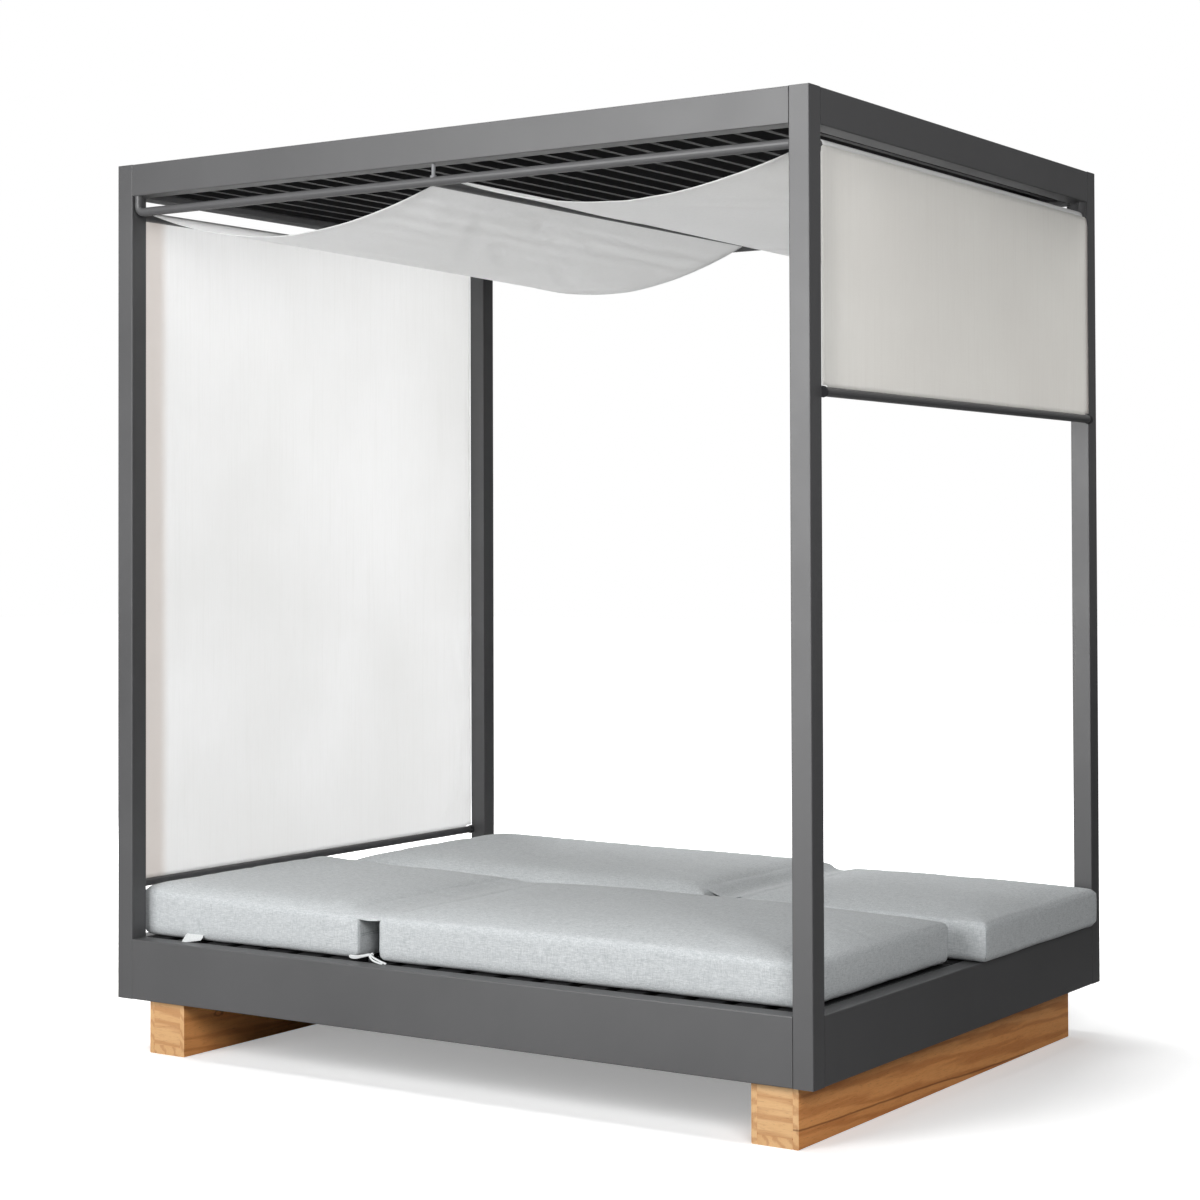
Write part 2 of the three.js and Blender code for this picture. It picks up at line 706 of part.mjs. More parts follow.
// Cushions: a crowned slab of loops, from the middle of the underside out, up and in over the top
function cushionLoop(half, inset, z) {
  const loop = [];
  const quarters = [[1, -1], [1, 1], [-1, 1], [-1, -1]];
  quarters.forEach(([sx, sy], k) => {
    const [nx, ny] = quarters[(k + 1) % quarters.length];
    const core = [half[0] - cushionBulge - cushionCorner, half[1] - cushionBulge - cushionCorner];
    for (let i = 0; i <= cornerSteps; i += 1) {
      const turn = (k - 1 + i / cornerSteps) * (Math.PI / 2);
      const round = [cushionCorner * Math.cos(turn), cushionCorner * Math.sin(turn)];
      loop.push([sx * core[0] + round[0], sy * core[1] + round[1]]);
    }
    const flat = k % 2 === 0 ? 0 : 1;
    for (let i = 1; i < sideSteps; i += 1) {
      const share = i / sideSteps;
      const swell = cushionBulge * 4 * share * (1 - share);
      const point = [0, 0];
      point[flat] = sx * half[0] * (1 - flat) + sy * half[1] * flat;
      point[flat] -= Math.sign(point[flat]) * (cushionBulge - swell);
      const other = 1 - flat;
      const from = [sx, sy][other] * core[other];
      const to = [nx, ny][other] * core[other];
      point[other] = from + (to - from) * share;
      loop.push(point);
    }
  });
  const scale = [1 - inset / half[0], 1 - inset / half[1]];
  return loop.map(([x, y]) => new THREE.Vector3(x * scale[0], y * scale[1], z));
}

function cushion(parent, name, x0, x1) {
  const y0 = front + cushionFrontInset;
  const half = [(x1 - x0) / 2, cushionWidth / 2];
  const bottom = deckTop + cushionRest;
  const edgeTop = bottom + cushionEdgeHeight;
  const levels = [[half[1] * bottomFlatShare, bottom]];
  for (let i = 0; i <= sectionSteps; i += 1) {
    const turn = (i / sectionSteps) * (Math.PI / 2);
    const inset = cushionBottomEdge * (1 - Math.sin(turn));
    levels.push([inset, bottom + cushionBottomEdge * (1 - Math.cos(turn))]);
  }
  for (let i = 0; i <= sectionSteps; i += 1) {
    const turn = (i / sectionSteps) * (Math.PI / 2);
    levels.push([cushionTopEdge * (1 - Math.cos(turn)), edgeTop - cushionTopEdge * (1 - Math.sin(turn))]);
  }
  for (const share of crownShares) {
    const inset = cushionTopEdge + (half[1] - cushionTopEdge) * share;
    levels.push([inset, edgeTop + cushionCrown * Math.sin((share * Math.PI) / 2)]);
  }
  const loops = levels.map(([inset, z]) => cushionLoop(half, inset, z));
  const geometry = loft(loops).translate((x0 + x1) / 2, y0 + half[1], 0);
  addPiece(parent, name, geometry, upholstery);
}

// A closed skin over a stack of loops with a fan at each end
function loft(loops) {
  const width = loops[0].length;
  const position = loops.flat().flatMap((point) => point.toArray());
  const faces = [];
  for (let i = 0; i < loops.length - 1; i += 1) {
    for (let j = 0; j < width; j += 1) {
      const a = i * width + j;
      const b = i * width + ((j + 1) % width);
      faces.push(a, b, a + width, b, b + width, a + width);
    }
  }
  const hubs = [loops[0], loops[loops.length - 1]].map((loop) => {
    position.push(0, 0, loop[0].z);
    return position.length / 3 - 1;
  });
  const last = (loops.length - 1) * width;
  for (let j = 0; j < width; j += 1) {
    const next = (j + 1) % width;
    faces.push(hubs[0], next, j, hubs[1], last + j, last + next);
  }
  const geometry = new THREE.BufferGeometry();
  geometry.setAttribute('position', new THREE.Float32BufferAttribute(position, 3));
  geometry.setIndex(faces);
  geometry.computeVertexNormals();
  return geometry;
}

// The strip of cover fabric that bridges the gap at the top
function foldStrip(parent, name, gapStart) {
  const base = deckTop + cushionRest + cushionEdgeHeight + touchGap;
  const top = base + foldStripThickness;
  const gapEnd = gapStart + cushionGap;
  const x0 = gapStart - foldStripLap;
  const x1 = gapEnd + foldStripLap;
  const middle = (gapStart + gapEnd) / 2;
  const outline = new THREE.Shape();
  outline.moveTo(x0, base);
  outline.lineTo(gapStart, base);
  outline.quadraticCurveTo(middle, base - 2 * foldStripSag, gapEnd, base);
  outline.lineTo(x1, base);
  outline.lineTo(x1, top);
  outline.lineTo(gapEnd, top);
  outline.quadraticCurveTo(middle, top - 2 * foldStripSag, gapStart, top);
  outline.lineTo(x0, top);
  const y0 = front + cushionFrontInset + foldStripInset;
  const y1 = y0 + cushionWidth - 2 * foldStripInset;
  addPiece(parent, name, prism(outline, 'y', y0, y1), upholstery);
}

function lounger(parent, row, label, bearerX) {
  const gapStart = left + backCushionEnds[row];
  const seatStart = gapStart + cushionGap;
  const hingeX = gapStart - hingeUnderCushion;
  const bearerEdge = bearerX + bearerWidth / 2;
  const propLength = (hingeX - bearerEdge + propFootLap) / 2;
  seatDeck(parent, `${label}_seat_deck`, hingeX, seatSlatCounts[row]);
  backRest(parent, `${label}_back_rest`, hingeX, backSlatCounts[row], propLength);
  hingeRod(parent, `${label}_hinge_rod`, hingeX);
  prop(parent, `${label}_prop`, hingeX, propLength);
  propRack(parent, `${label}_prop_rack`, bearerEdge);
  cushion(parent, `${label}_back_cushion`, left + backCushionStarts[row], gapStart);
  cushion(parent, `${label}_seat_cushion`, seatStart, right - seatCushionInsets[row]);
  foldStrip(parent, `${label}_fold_strip`, gapStart);
}

post('post_front_left', left, front);
post('post_front_right', right - postSide, front);
post('post_back_right', right - postSide, back - postSide);
post('post_back_left', left, back - postSide);
beamRing('base', frameBottom, deckTop);
beamRing('top', topBeamBottom, frameTop);
// A flat tape lying on the deck
function tape(name, corners) {
  const outline = new THREE.Shape(points(corners.map(([x, y]) => [left + x, front + y])));
  const base = deckTop + cushionRest;
  addPiece(daybed, name, prism(outline, 'z', base, base + tapeThickness), canvas);
}

const leftFootMiddle = left + leftFootInset + footWidth / 2;
const rightFootMiddle = right - rightFootInset - footWidth / 2;
foot('left', leftFootMiddle);
foot('right', rightFootMiddle);
crossBearer('left', leftFootMiddle);
crossBearer('middle', 0);
crossBearer('right', rightFootMiddle);
lounger(daybed, 0, 'front', leftFootMiddle);
lounger(opposite, 1, 'back', -rightFootMiddle);
tape('front_tie_tape', tieTape);
tape('front_cushion_tab', cushionTab);
roofPanel();
canopyRods(daybed, 'canopy_rod_front', 'canopy_rod_left');
canopyRods(opposite, 'canopy_rod_back', 'canopy_rod_right');
middleRod();
hanger(daybed, 'rod_hanger_front');
hanger(opposite, 'rod_hanger_back');
screenRod(daybed, 'left', leftScreenDrop);
screenRod(opposite, 'right', rightScreenDrop);
roofCloth();
screenCloth(daybed, 'left', leftScreenDrop, 1);
screenCloth(opposite, 'right', rightScreenDrop, 2);

export default daybed;
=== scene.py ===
import bpy, bmesh, math
import numpy as np
from mathutils import Vector, Matrix, noise
from mathutils.bvhtree import BVHTree


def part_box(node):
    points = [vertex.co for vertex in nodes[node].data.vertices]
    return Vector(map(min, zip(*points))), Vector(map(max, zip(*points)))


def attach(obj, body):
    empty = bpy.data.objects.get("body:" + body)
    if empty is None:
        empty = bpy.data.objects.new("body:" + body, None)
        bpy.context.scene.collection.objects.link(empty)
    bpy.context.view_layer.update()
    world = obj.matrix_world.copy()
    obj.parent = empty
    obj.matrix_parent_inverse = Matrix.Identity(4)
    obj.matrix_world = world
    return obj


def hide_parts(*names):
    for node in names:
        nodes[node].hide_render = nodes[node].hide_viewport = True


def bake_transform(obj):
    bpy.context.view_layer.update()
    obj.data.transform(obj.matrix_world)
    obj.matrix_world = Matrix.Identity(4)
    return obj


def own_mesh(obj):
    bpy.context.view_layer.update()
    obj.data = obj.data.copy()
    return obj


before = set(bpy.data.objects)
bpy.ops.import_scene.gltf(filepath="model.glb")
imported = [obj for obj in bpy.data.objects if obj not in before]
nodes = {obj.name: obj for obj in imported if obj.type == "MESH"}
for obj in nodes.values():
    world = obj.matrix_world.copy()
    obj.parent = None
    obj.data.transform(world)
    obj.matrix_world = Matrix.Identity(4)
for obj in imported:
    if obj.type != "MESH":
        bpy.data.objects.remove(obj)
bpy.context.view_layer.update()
print("frame loaded,", len(nodes), "pieces")


# camera: the photograph's own place and lens

view = {
    "place": (3.4885, -5.2461, 1.2673),
    "turn": 33.28,  # degrees to the left of straight ahead
    "tip": 1.01,  # degrees up
    "lean": -0.19,  # degrees of roll
    "lens": 73.63,
    "sensor": 36,
    "shift": (-0.0243, -0.0818),
    "farEnd": 60,
}


def placeCamera():
    turn, tip, lean = (math.radians(view[k]) for k in ("turn", "tip", "lean"))
    level = math.cos(tip)
    ahead = Vector((-math.sin(turn) * level, math.cos(turn) * level, math.sin(tip)))
    side = Vector((math.cos(turn), math.sin(turn), 0))
    above = side.cross(ahead)
    right = math.cos(lean) * side + math.sin(lean) * above
    up = math.cos(lean) * above - math.sin(lean) * side
    data = bpy.data.cameras.new("camera")
    data.lens = view["lens"]
    data.sensor_width = view["sensor"]
    data.shift_x, data.shift_y = view["shift"]
    data.clip_end = view["farEnd"]
    camera = bpy.data.objects.new("camera", data)
    basis = Matrix((right, up, -ahead)).transposed().to_4x4()
    camera.matrix_world = Matrix.Translation(view["place"]) @ basis
    bpy.context.scene.collection.objects.link(camera)
    bpy.context.scene.camera = camera


placeCamera()


# light: a big soft key from the front left, a lamp above, one behind the left screen and a
# low one from the right, in white surroundings

studio = {
    "worldLight": 0.08,
    # dark flags on the right and the left, seen only in gloss: from x, to x, strength there
    "flags": ((-0.1, 0.5, 0.08), (-0.62, -0.80, 0.35)),
    "floorReach": 30,
    "lamps": [
        # name, place, aim, width and height in metres, watts, shown in gloss
        ("keyLamp", (-1.35, -5.0, 2.15), (0.0, -0.3, 1.0), (2.4, 3.6), 212, True),
        ("topLamp", (-0.8, 0.0, 6.6), (-0.2, 0, 0.3), (4.0, 4.0), 330, True),
        ("backLamp", (-4.7, 2.5, 2.4), (0.2, 0, 1.5), (3.0, 3.0), 204, False),
        ("rightLamp", (3.6, -3.6, 2.6), (0.6, -0.1, 0.9), (2.0, 2.0), 138, False),
    ],
    "floorTone": 0.90,
    "floorBounce": 0.42,  # the tone that the floor lends to the object
    "floorGloss": (0.7, 1.7, 0.03),  # gloss sees less of it on the right: from x, to x, tone
    "floorLift": 0.30,  # added for the camera near the bed
    "floorFade": (1.15, 2.6, 1.0),  # metres from the middle: from here, to here, added beyond
    "floorRough": 0.9,
}


def addLamp(name, place, aim, size, watts, gloss):
    data = bpy.data.lights.new(name, "AREA")
    data.shape = "RECTANGLE"
    data.size, data.size_y = size
    data.energy = watts
    lamp = bpy.data.objects.new(name, data)
    lamp.location = place
    lamp.rotation_euler = (Vector(aim) - Vector(place)).to_track_quat("-Z", "Y").to_euler()
    lamp.visible_camera = False
    lamp.visible_glossy = gloss
    bpy.context.scene.collection.objects.link(lamp)


def wire(tree, socket, value):
    if isinstance(value, bpy.types.NodeSocket):
        tree.links.new(value, socket)
    elif isinstance(value, tuple) and len(value) == 3 and socket.type == "RGBA":
        socket.default_value = (*value, 1)
    else:
        socket.default_value = value


def addNode(tree, kind, settings=None, inputs=None):
    node = tree.nodes.new(kind)
    for key, value in (settings or {}).items():
        setattr(node, key, value)
    for key, value in (inputs or {}).items():
        wire(tree, node.inputs[key], value)
    return node


def mathNode(tree, operation, a, b=0.0):
    return addNode(tree, "ShaderNodeMath", {"operation": operation}, {0: a, 1: b}).outputs[0]


def rangeNode(tree, value, low, high, toLow=0.0, toHigh=1.0):
    return addNode(tree, "ShaderNodeMapRange", None, {
        "Value": value, "From Min": low, "From Max": high, "To Min": toLow, "To Max": toHigh,
    }).outputs[0]


def splitNode(tree, vector):
    return addNode(tree, "ShaderNodeSeparateXYZ", None, {0: vector}).outputs


def lightWorld():
    world = bpy.data.worlds.new("studio")
    world.use_nodes = True
    bpy.context.scene.world = world
    tree = world.node_tree
    white = (1, 1, 1)
    seenWhite = tree.nodes["Background"]
    wire(tree, seenWhite.inputs["Color"], white)
    lights = addNode(tree, "ShaderNodeBackground", None,
                     {"Color": white, "Strength": studio["worldLight"]})
    rays = addNode(tree, "ShaderNodeLightPath").outputs
    # gloss shows the white surroundings too, but for the flags
    place = addNode(tree, "ShaderNodeTexCoord").outputs["Generated"]
    sideways = splitNode(tree, place)[0]
    flags = [rangeNode(tree, sideways, start, end, 1, strength)
             for start, end, strength in studio["flags"]]
    shade = mathNode(tree, "MULTIPLY", *flags)
    plain = mathNode(tree, "MAXIMUM", rays["Is Camera Ray"], rays["Is Transmission Ray"])
    wire(tree, seenWhite.inputs["Strength"], mathNode(tree, "MAXIMUM", plain, shade))
    shown = mathNode(tree, "MAXIMUM", plain, rays["Is Glossy Ray"])
    mix = addNode(tree, "ShaderNodeMixShader", None,
                  {0: shown, 1: lights.outputs[0], 2: seenWhite.outputs[0]})
    wire(tree, tree.nodes["World Output"].inputs["Surface"], mix.outputs[0])


def layFloor():
    reach = studio["floorReach"]
    corners = [(-reach, -reach, 0), (reach, -reach, 0), (reach, reach, 0), (-reach, reach, 0)]
    mesh = bpy.data.meshes.new("studioFloor")
    mesh.from_pydata(corners, [], [(0, 1, 2, 3)])
    floor = bpy.data.objects.new("studioFloor", mesh)
    bpy.context.scene.collection.objects.link(floor)
    mat = bpy.data.materials.new("studioFloor")
    mat.use_nodes = True
    tree = mat.node_tree
    rays = addNode(tree, "ShaderNodeLightPath").outputs
    place = addNode(tree, "ShaderNodeTexCoord").outputs["Object"]
    # one tone for the camera, one that lights the object, one that gloss shows
    start, end, dark = studio["floorGloss"]
    lent = studio["floorBounce"]
    shown = rangeNode(tree, splitNode(tree, place)[0], start, end, lent, dark)
    bounce = rangeNode(tree, rays["Is Glossy Ray"], 0, 1, lent, shown)
    tone = rangeNode(tree, rays["Is Camera Ray"], 0, 1, bounce, studio["floorTone"])
    shader = tree.nodes["Principled BSDF"]
    for key, value in (("Base Color", tone), ("Roughness", studio["floorRough"]),
                       ("Specular IOR Level", 0)):
        wire(tree, shader.inputs[key], value)
    # the camera sees the floor go over into the white surroundings
    away = addNode(tree, "ShaderNodeVectorMath", {"operation": "LENGTH"}, {0: place})
    near, far, most = studio["floorFade"]
    rise = rangeNode(tree, away.outputs["Value"], near, far, studio["floorLift"], most)
    lift = mathNode(tree, "MULTIPLY", rays["Is Camera Ray"], rise)
    glow = addNode(tree, "ShaderNodeEmission", None, {"Strength": lift})
    both = addNode(tree, "ShaderNodeAddShader", None, {0: shader.outputs[0], 1: glow.outputs[0]})
    wire(tree, tree.nodes["Material Output"].inputs["Surface"], both.outputs[0])
    mesh.materials.append(mat)


lightWorld()
for lamp in studio["lamps"]:
    addLamp(*lamp)
layFloor()
bpy.context.scene.view_settings.view_transform = "Standard"
print("camera, light and floor stand")


# materials

class Finish:
    def __init__(self, name):
        self.mat = bpy.data.materials.new(name)
        self.mat.use_nodes = True
        self.tree = self.mat.node_tree
        self.shader = self.tree.nodes["Principled BSDF"]
        coordinates = self.add("ShaderNodeTexCoord").outputs
        self.place, self.facing = coordinates["Object"], coordinates["Normal"]

    def add(self, kind, settings=None, inputs=None):
        return addNode(self.tree, kind, settings, inputs)

    def stretched(self, scale, shift=(0, 0, 0)):
        return self.add("ShaderNodeMapping", None, {
            "Vector": self.place, "Scale": scale, "Location": shift,
        }).outputs[0]

    def noise(self, vector, scale, detail=4.0, rough=0.5, distortion=0.0):
        return self.add("ShaderNodeTexNoise", None, {
            "Vector": vector, "Scale": scale, "Detail": detail, "Roughness": rough,
            "Distortion": distortion,
        }).outputs["Fac"]

    def math(self, operation, a, b=0.0):
        return mathNode(self.tree, operation, a, b)

    def remap(self, value, low, high, toLow=0.0, toHigh=1.0):
        return rangeNode(self.tree, value, low, high, toLow, toHigh)

    def blend(self, share, first, second, how="MIX"):
        node = self.add("ShaderNodeMix", {"data_type": "RGBA", "blend_type": how})
        for k, value in ((0, share), (6, first), (7, second)):
            wire(self.tree, node.inputs[k], value)
        return node.outputs[2]

    def bump(self, height, strength, distance):
        return self.add("ShaderNodeBump", None, {
            "Height": height, "Strength": strength, "Distance": distance,
        }).outputs[0]

    def finish(self, **sockets):
        names = {
            "colour": "Base Color", "rough": "Roughness", "metal": "Metallic", "normal": "Normal",
            "specular": "Specular IOR Level", "sheen": "Sheen Weight",
            "sheenRough": "Sheen Roughness",
        }
        for key, value in sockets.items():
            wire(self.tree, self.shader.inputs[names[key]], value)
        return self.mat


def seen(red, green, blue):
    # a colour as a picture editor shows it, 0 to 255
    shares = [c / 255 for c in (red, green, blue)]
    return tuple(((c + 0.055) / 1.055) ** 2.4 for c in shares)


coat = {
    # tone and shine of each
    "frame": (seen(73, 73, 74), 0.54),
    # the roof's tone is the frame's coat darkened: painted shade for the shade under the canopy
    "roof": (seen(25, 25, 26), 0.09),
    "hanger": (seen(128, 129, 131), 0.3),
    "blotch": 0.08,
    "rough": (0.36, 0.48),
    "grainPerMetre": 1400,
    "cloudPerMetre": 2.6,
    "streak": (30, 30, 2),
    "grainBump": (0.10, 0.0006),
}


def powderCoat(kind):
    tone, shine = coat[kind]
    f = Finish(kind + "Coat")
    grain = f.noise(f.place, coat["grainPerMetre"], 2)
    cloud = f.noise(f.place, coat["cloudPerMetre"], 5, 0.6)
    streak = f.noise(f.stretched(coat["streak"]), 1, 3)
    dark = tuple(c * (1 - coat["blotch"]) for c in tone)
    light = tuple(c * (1 + coat["blotch"]) for c in tone)
    base = f.blend(f.remap(cloud, 0.3, 0.7), dark, light)
    base = f.blend(f.remap(streak, 0.35, 0.75, 0, 0.5), base, f.blend(0.5, base, dark))
    base = f.blend(f.remap(grain, 0.3, 0.7, 0, 0.16), base, light, "SCREEN")
    return f.finish(colour=base, rough=f.remap(cloud, 0.3, 0.7, *coat["rough"]), metal=0.0,
                    specular=shine, normal=f.bump(grain, *coat["grainBump"]))


steel = {
    "dark": seen(128, 129, 131),
    "pale": seen(176, 177, 180),
    "lines": (900, 20, 900),  # drawn along y, as the hinge rods lie
    "rough": (0.3, 0.45),
    "metal": 0.9,
}


def drawnSteel():
    f = Finish("drawnSteel")
    line = f.noise(f.stretched(steel["lines"]), 1, 2)
    base = f.blend(f.remap(line, 0.3, 0.7), steel["dark"], steel["pale"])
    rough = f.remap(line, 0.3, 0.7, *steel["rough"])
    return f.finish(colour=base, metal=steel["metal"], rough=rough, normal=f.bump(line, 0.1, 0.0004))


caps = {"dark": seen(44, 44, 46), "pale": seen(60, 60, 62), "grainPerMetre": 900, "rough": 0.55}


def capPlastic():
    f = Finish("capPlastic")
    grain = f.noise(f.place, caps["grainPerMetre"], 3)
    base = f.blend(f.remap(grain, 0.3, 0.7), caps["dark"], caps["pale"])
    return f.finish(colour=base, rough=caps["rough"], normal=f.bump(grain, 0.12, 0.0005))


wood = {
    "pale": seen(230, 188, 138),
    "warm": seen(211, 160, 106),
    "deep": seen(176, 119, 72),
    "line": seen(104, 60, 32),
    "sideTint": (1.12, 0.84, 0.60),  # the long faces
    "endTintAndShade": (0.88, 0.90, 0.92),  # the ends, darkened and cooled: painted shade on the faces that look along y, which the key lamp lights
    "driftPerMetre": 5,
    "ringsPerMetre": 16,
    "fibresPerMetre": 420,
    "poresPerMetre": 900,
    "alongGrain": 0.07,  # how much slower all this changes along the grain
    "rough": (0.5, 0.72),
    "shine": 0.32,
    # on the right foot's long face: height, slope, wander and width of a dark gum line
    "gum": {"right_foot_right_board": (0.016, -0.034, 0.016, 0.0032)},
    # place and size of a knot
    "knots": {"left_foot_right_board": ((-0.793, -0.62, 0.09), 0.012)},
}


def teak(name, along, seed, knot=None, gum=None):
    # along is the axis the grain runs on; the other two carry the rings
    f = Finish(name)
    keep = tuple(wood["alongGrain"] if axis == along else 1 for axis in "xyz")
    board = f.stretched(keep, shift=(seed * 0.37, seed * 0.61, seed * 0.23))
    drift = f.noise(board, wood["driftPerMetre"], 4, 0.55, 0.6)
    rings = f.add("ShaderNodeTexWave", {"wave_type": "BANDS", "bands_direction": "DIAGONAL"}, {
        "Vector": board, "Scale": wood["ringsPerMetre"], "Distortion": 7,
        "Detail": 3, "Detail Scale": 1.4, "Detail Roughness": 0.6,
    }).outputs["Fac"]
    fibre = f.noise(f.stretched(keep, shift=(seed, 0, seed)), wood["fibresPerMetre"], 3, 0.6)
    pores = f.noise(f.stretched(keep, shift=(0, seed, seed)), wood["poresPerMetre"], 2, 0.5)
    tones = [wood[k] for k in ("pale", "warm", "deep", "line")]
    base = f.blend(f.remap(drift, 0.35, 0.66), tones[0], tones[1])
    base = f.blend(f.remap(rings, 0.45, 0.95, 0, 0.5), base, tones[2])
    base = f.blend(f.remap(fibre, 0.5, 0.78, 0, 0.34), base, tones[2])
    base = f.blend(f.remap(pores, 0.62, 0.75, 0, 0.45), base, tones[3])
    if knot:
        spot, size = knot
        away = f.add("ShaderNodeVectorMath", {"operation": "DISTANCE"}, {
            0: f.stretched((1, 0.5, 1)), 1: (spot[0], spot[1] * 0.5, spot[2])}).outputs["Value"]
        swirl = f.noise(f.place, 60, 3)
        away = f.math("ADD", away, f.math("MULTIPLY", swirl, size * 0.5))
        ring = f.math("SINE", f.math("MULTIPLY", away, 9 / size))
        near = f.remap(away, size * 0.6, size * 1.6, 0.75, 0)
        base = f.blend(f.math("MULTIPLY", near, f.remap(ring, -1, 1)), base, tones[3])
    if gum:
        height, slope, wander, width = gum
        split = splitNode(f.tree, f.place)
        curve = f.noise(f.stretched((0, 2.2, 0)), 1, 4, 0.55)
        middle = f.math("ADD", height, f.math("MULTIPLY", split[1], slope))
        middle = f.math("ADD", middle, f.math("MULTIPLY", f.math("SUBTRACT", curve, 0.5), wander))
        off = f.math("ABSOLUTE", f.math("SUBTRACT", split[2], middle))
        base = f.blend(f.remap(off, 0, width, 0.8, 0), base, tones[3])
    # faces that look along y take the end tint, whose darkening is painted shade; the others take
    # the side tint
    faceY = splitNode(f.tree, f.facing)[1]
    end = f.remap(f.math("ABSOLUTE", faceY), 0.5, 0.8)
    base = f.blend(1.0, base, f.blend(end, wood["sideTint"], wood["endTintAndShade"]), "MULTIPLY")
    height = f.math("ADD", f.math("MULTIPLY", fibre, 0.6), f.math("MULTIPLY", rings, 0.2))
    return f.finish(colour=base, rough=f.remap(fibre, 0.3, 0.8, *wood["rough"]),
                    specular=wood["shine"], normal=f.bump(height, 0.25, 0.0006))


canvas = {
    "tone": seen(243, 243, 243),
    "shade": seen(234, 234, 233),
    # the right screen's warmer tones are painted shade: the warm cast of the same cloth seen from
    # outside in shade
    "shadeWarmTone": seen(243, 242, 239),
    "shadeWarmShade": seen(235, 233, 230),
    "hemTone": seen(236, 232, 229),
    "threadsPerMetre": 900,
    "through": 0.48,  # share of light that each face lets through
    "leftThrough": 0.67,  # the left screen, which has the light behind it
    "hemShare": 0.75,  # of that share, where the cloth lies double
    "leftHem": (-0.7135, 0.112, 0.016),  # y of the cloth's edge, width, softness
    "rightHem": (0.7135, 0.018, 0.003),
    "bump": (0.3, 0.0008),
}


def screenCloth(name, through, hem=None, tones=("tone", "shade")):
    # a hem is a band along an edge where the cloth lies double
    f = Finish(name)
    count = canvas["threadsPerMetre"]
    warp = f.noise(f.stretched((count * 0.4, count * 0.4, 14)), 1, 2)
    weft = f.noise(f.stretched((16, 16, count * 0.4)), 1, 2)
    slub = f.noise(f.stretched((120, 120, 2.2)), 1, 3)
    cloud = f.noise(f.place, 2.2, 4)
    tone, shade = canvas[tones[0]], canvas[tones[1]]
    base = f.blend(f.remap(cloud, 0.35, 0.7, 0, 0.5), tone, shade)
    base = f.blend(f.remap(slub, 0.5, 0.8, 0, 0.5), base, shade)
    base = f.blend(f.remap(warp, 0.45, 0.7, 0, 0.3), base, shade)
    passed = through
    if hem:
        edge, width, soft = hem
        off = f.math("ABSOLUTE", f.math("SUBTRACT", splitNode(f.tree, f.place)[1], edge))
        band = f.remap(off, width - soft, width + soft, 1, 0)
        base = f.blend(band, base, canvas["hemTone"])
        passed = f.remap(band, 0, 1, through, through * canvas["hemShare"])
    weave = f.bump(f.math("ADD", warp, weft), *canvas["bump"])
    f.finish(colour=base, rough=0.9, specular=0.1, normal=weave)
    lit = f.add("ShaderNodeBsdfTranslucent", None, {"Color": base})
    mix = f.add("ShaderNodeMixShader", None, {0: passed, 1: f.shader.outputs[0], 2: lit.outputs[0]})
    wire(f.tree, f.tree.nodes["Material Output"].inputs["Surface"], mix.outputs[0])
    return f.mat


cover = {
    "pale": seen(204, 207, 208),
    "mid": seen(180, 184, 186),
    "dark": seen(134, 139, 142),
    "yarnWidth": 0.0019,
    "yarnLength": 0.016,
    "rough": 0.95,
    "shine": 0.12,
    "sheen": 0.12,
    "sheenRough": 0.5,
    "bump": (0.24, 0.0009),
}


def coverWeave(name):
    # yarns of three greys, crossing; each face shows the two directions that lie in it
    f = Finish(name)
    thin, long = 1 / cover["yarnWidth"], 1 / cover["yarnLength"]
    yarns = [f.noise(f.stretched(scale), 1, 2, 0.65)
             for scale in ((long, thin, thin), (thin, long, thin), (thin, thin, long))]
    fleck = f.noise(f.place, thin * 0.8, 3, 0.7)
    cloud = f.noise(f.place, 4.5, 4)
    base = f.blend(f.remap(yarns[0], 0.36, 0.62), cover["mid"], cover["pale"])
    base = f.blend(f.remap(yarns[2], 0.48, 0.7, 0, 0.40), base, cover["dark"])
    base = f.blend(f.remap(yarns[1], 0.48, 0.7, 0, 0.40), base, cover["dark"])
    base = f.blend(f.remap(fleck, 0.54, 0.72, 0, 0.22), base, cover["dark"])
    base = f.blend(f.remap(cloud, 0.35, 0.7, 0, 0.16), base, cover["mid"])
    weave = f.math("ADD", f.math("ADD", yarns[0], yarns[1]), yarns[2])
    return f.finish(colour=base, rough=cover["rough"], specular=cover["shine"], sheen=cover["sheen"],
                    sheenRough=cover["sheenRough"], normal=f.bump(weave, *cover["bump"]))


def tapeWeave():
    f = Finish("tapeWeave")
    rib = f.noise(f.stretched((900, 300, 900)), 1, 2)
    base = f.blend(f.remap(rib, 0.35, 0.65), seen(196, 199, 199), seen(216, 218, 218))
    return f.finish(colour=base, rough=0.9, specular=0.1, normal=f.bump(rib, 0.3, 0.0004))


def seamYarn():
    f = Finish("seamYarn")
    twist = f.noise(f.place, 700, 2)
    base = f.blend(f.remap(twist, 0.35, 0.65), cover["dark"], cover["mid"])
    return f.finish(colour=base, rough=0.9, specular=0.1, normal=f.bump(twist, 0.3, 0.0005))


frameCoat = powderCoat("frame")
# the roof coat is the frame coat with painted shade in its darker tone
shadedRoofCoat = powderCoat("roof")
hangerCoat = powderCoat("hanger")
steelFinish = drawnSteel()
capFinish = capPlastic()
roofClothFinish = screenCloth("roofCloth", canvas["through"])
leftClothFinish = screenCloth("leftScreenCloth", canvas["leftThrough"], canvas["leftHem"])
# the right screen takes the warmer tones, which are painted shade
rightClothFinish = screenCloth("rightScreenCloth", canvas["through"], canvas["rightHem"],
                               ("shadeWarmTone", "shadeWarmShade"))
coverFinish = coverWeave("coverWeave")
seamFinish = seamYarn()
tapeFinish = tapeWeave()
print("materials made")


def dress(name, material):
    mesh = nodes[name].data
    mesh.materials.clear()
    mesh.materials.append(material)


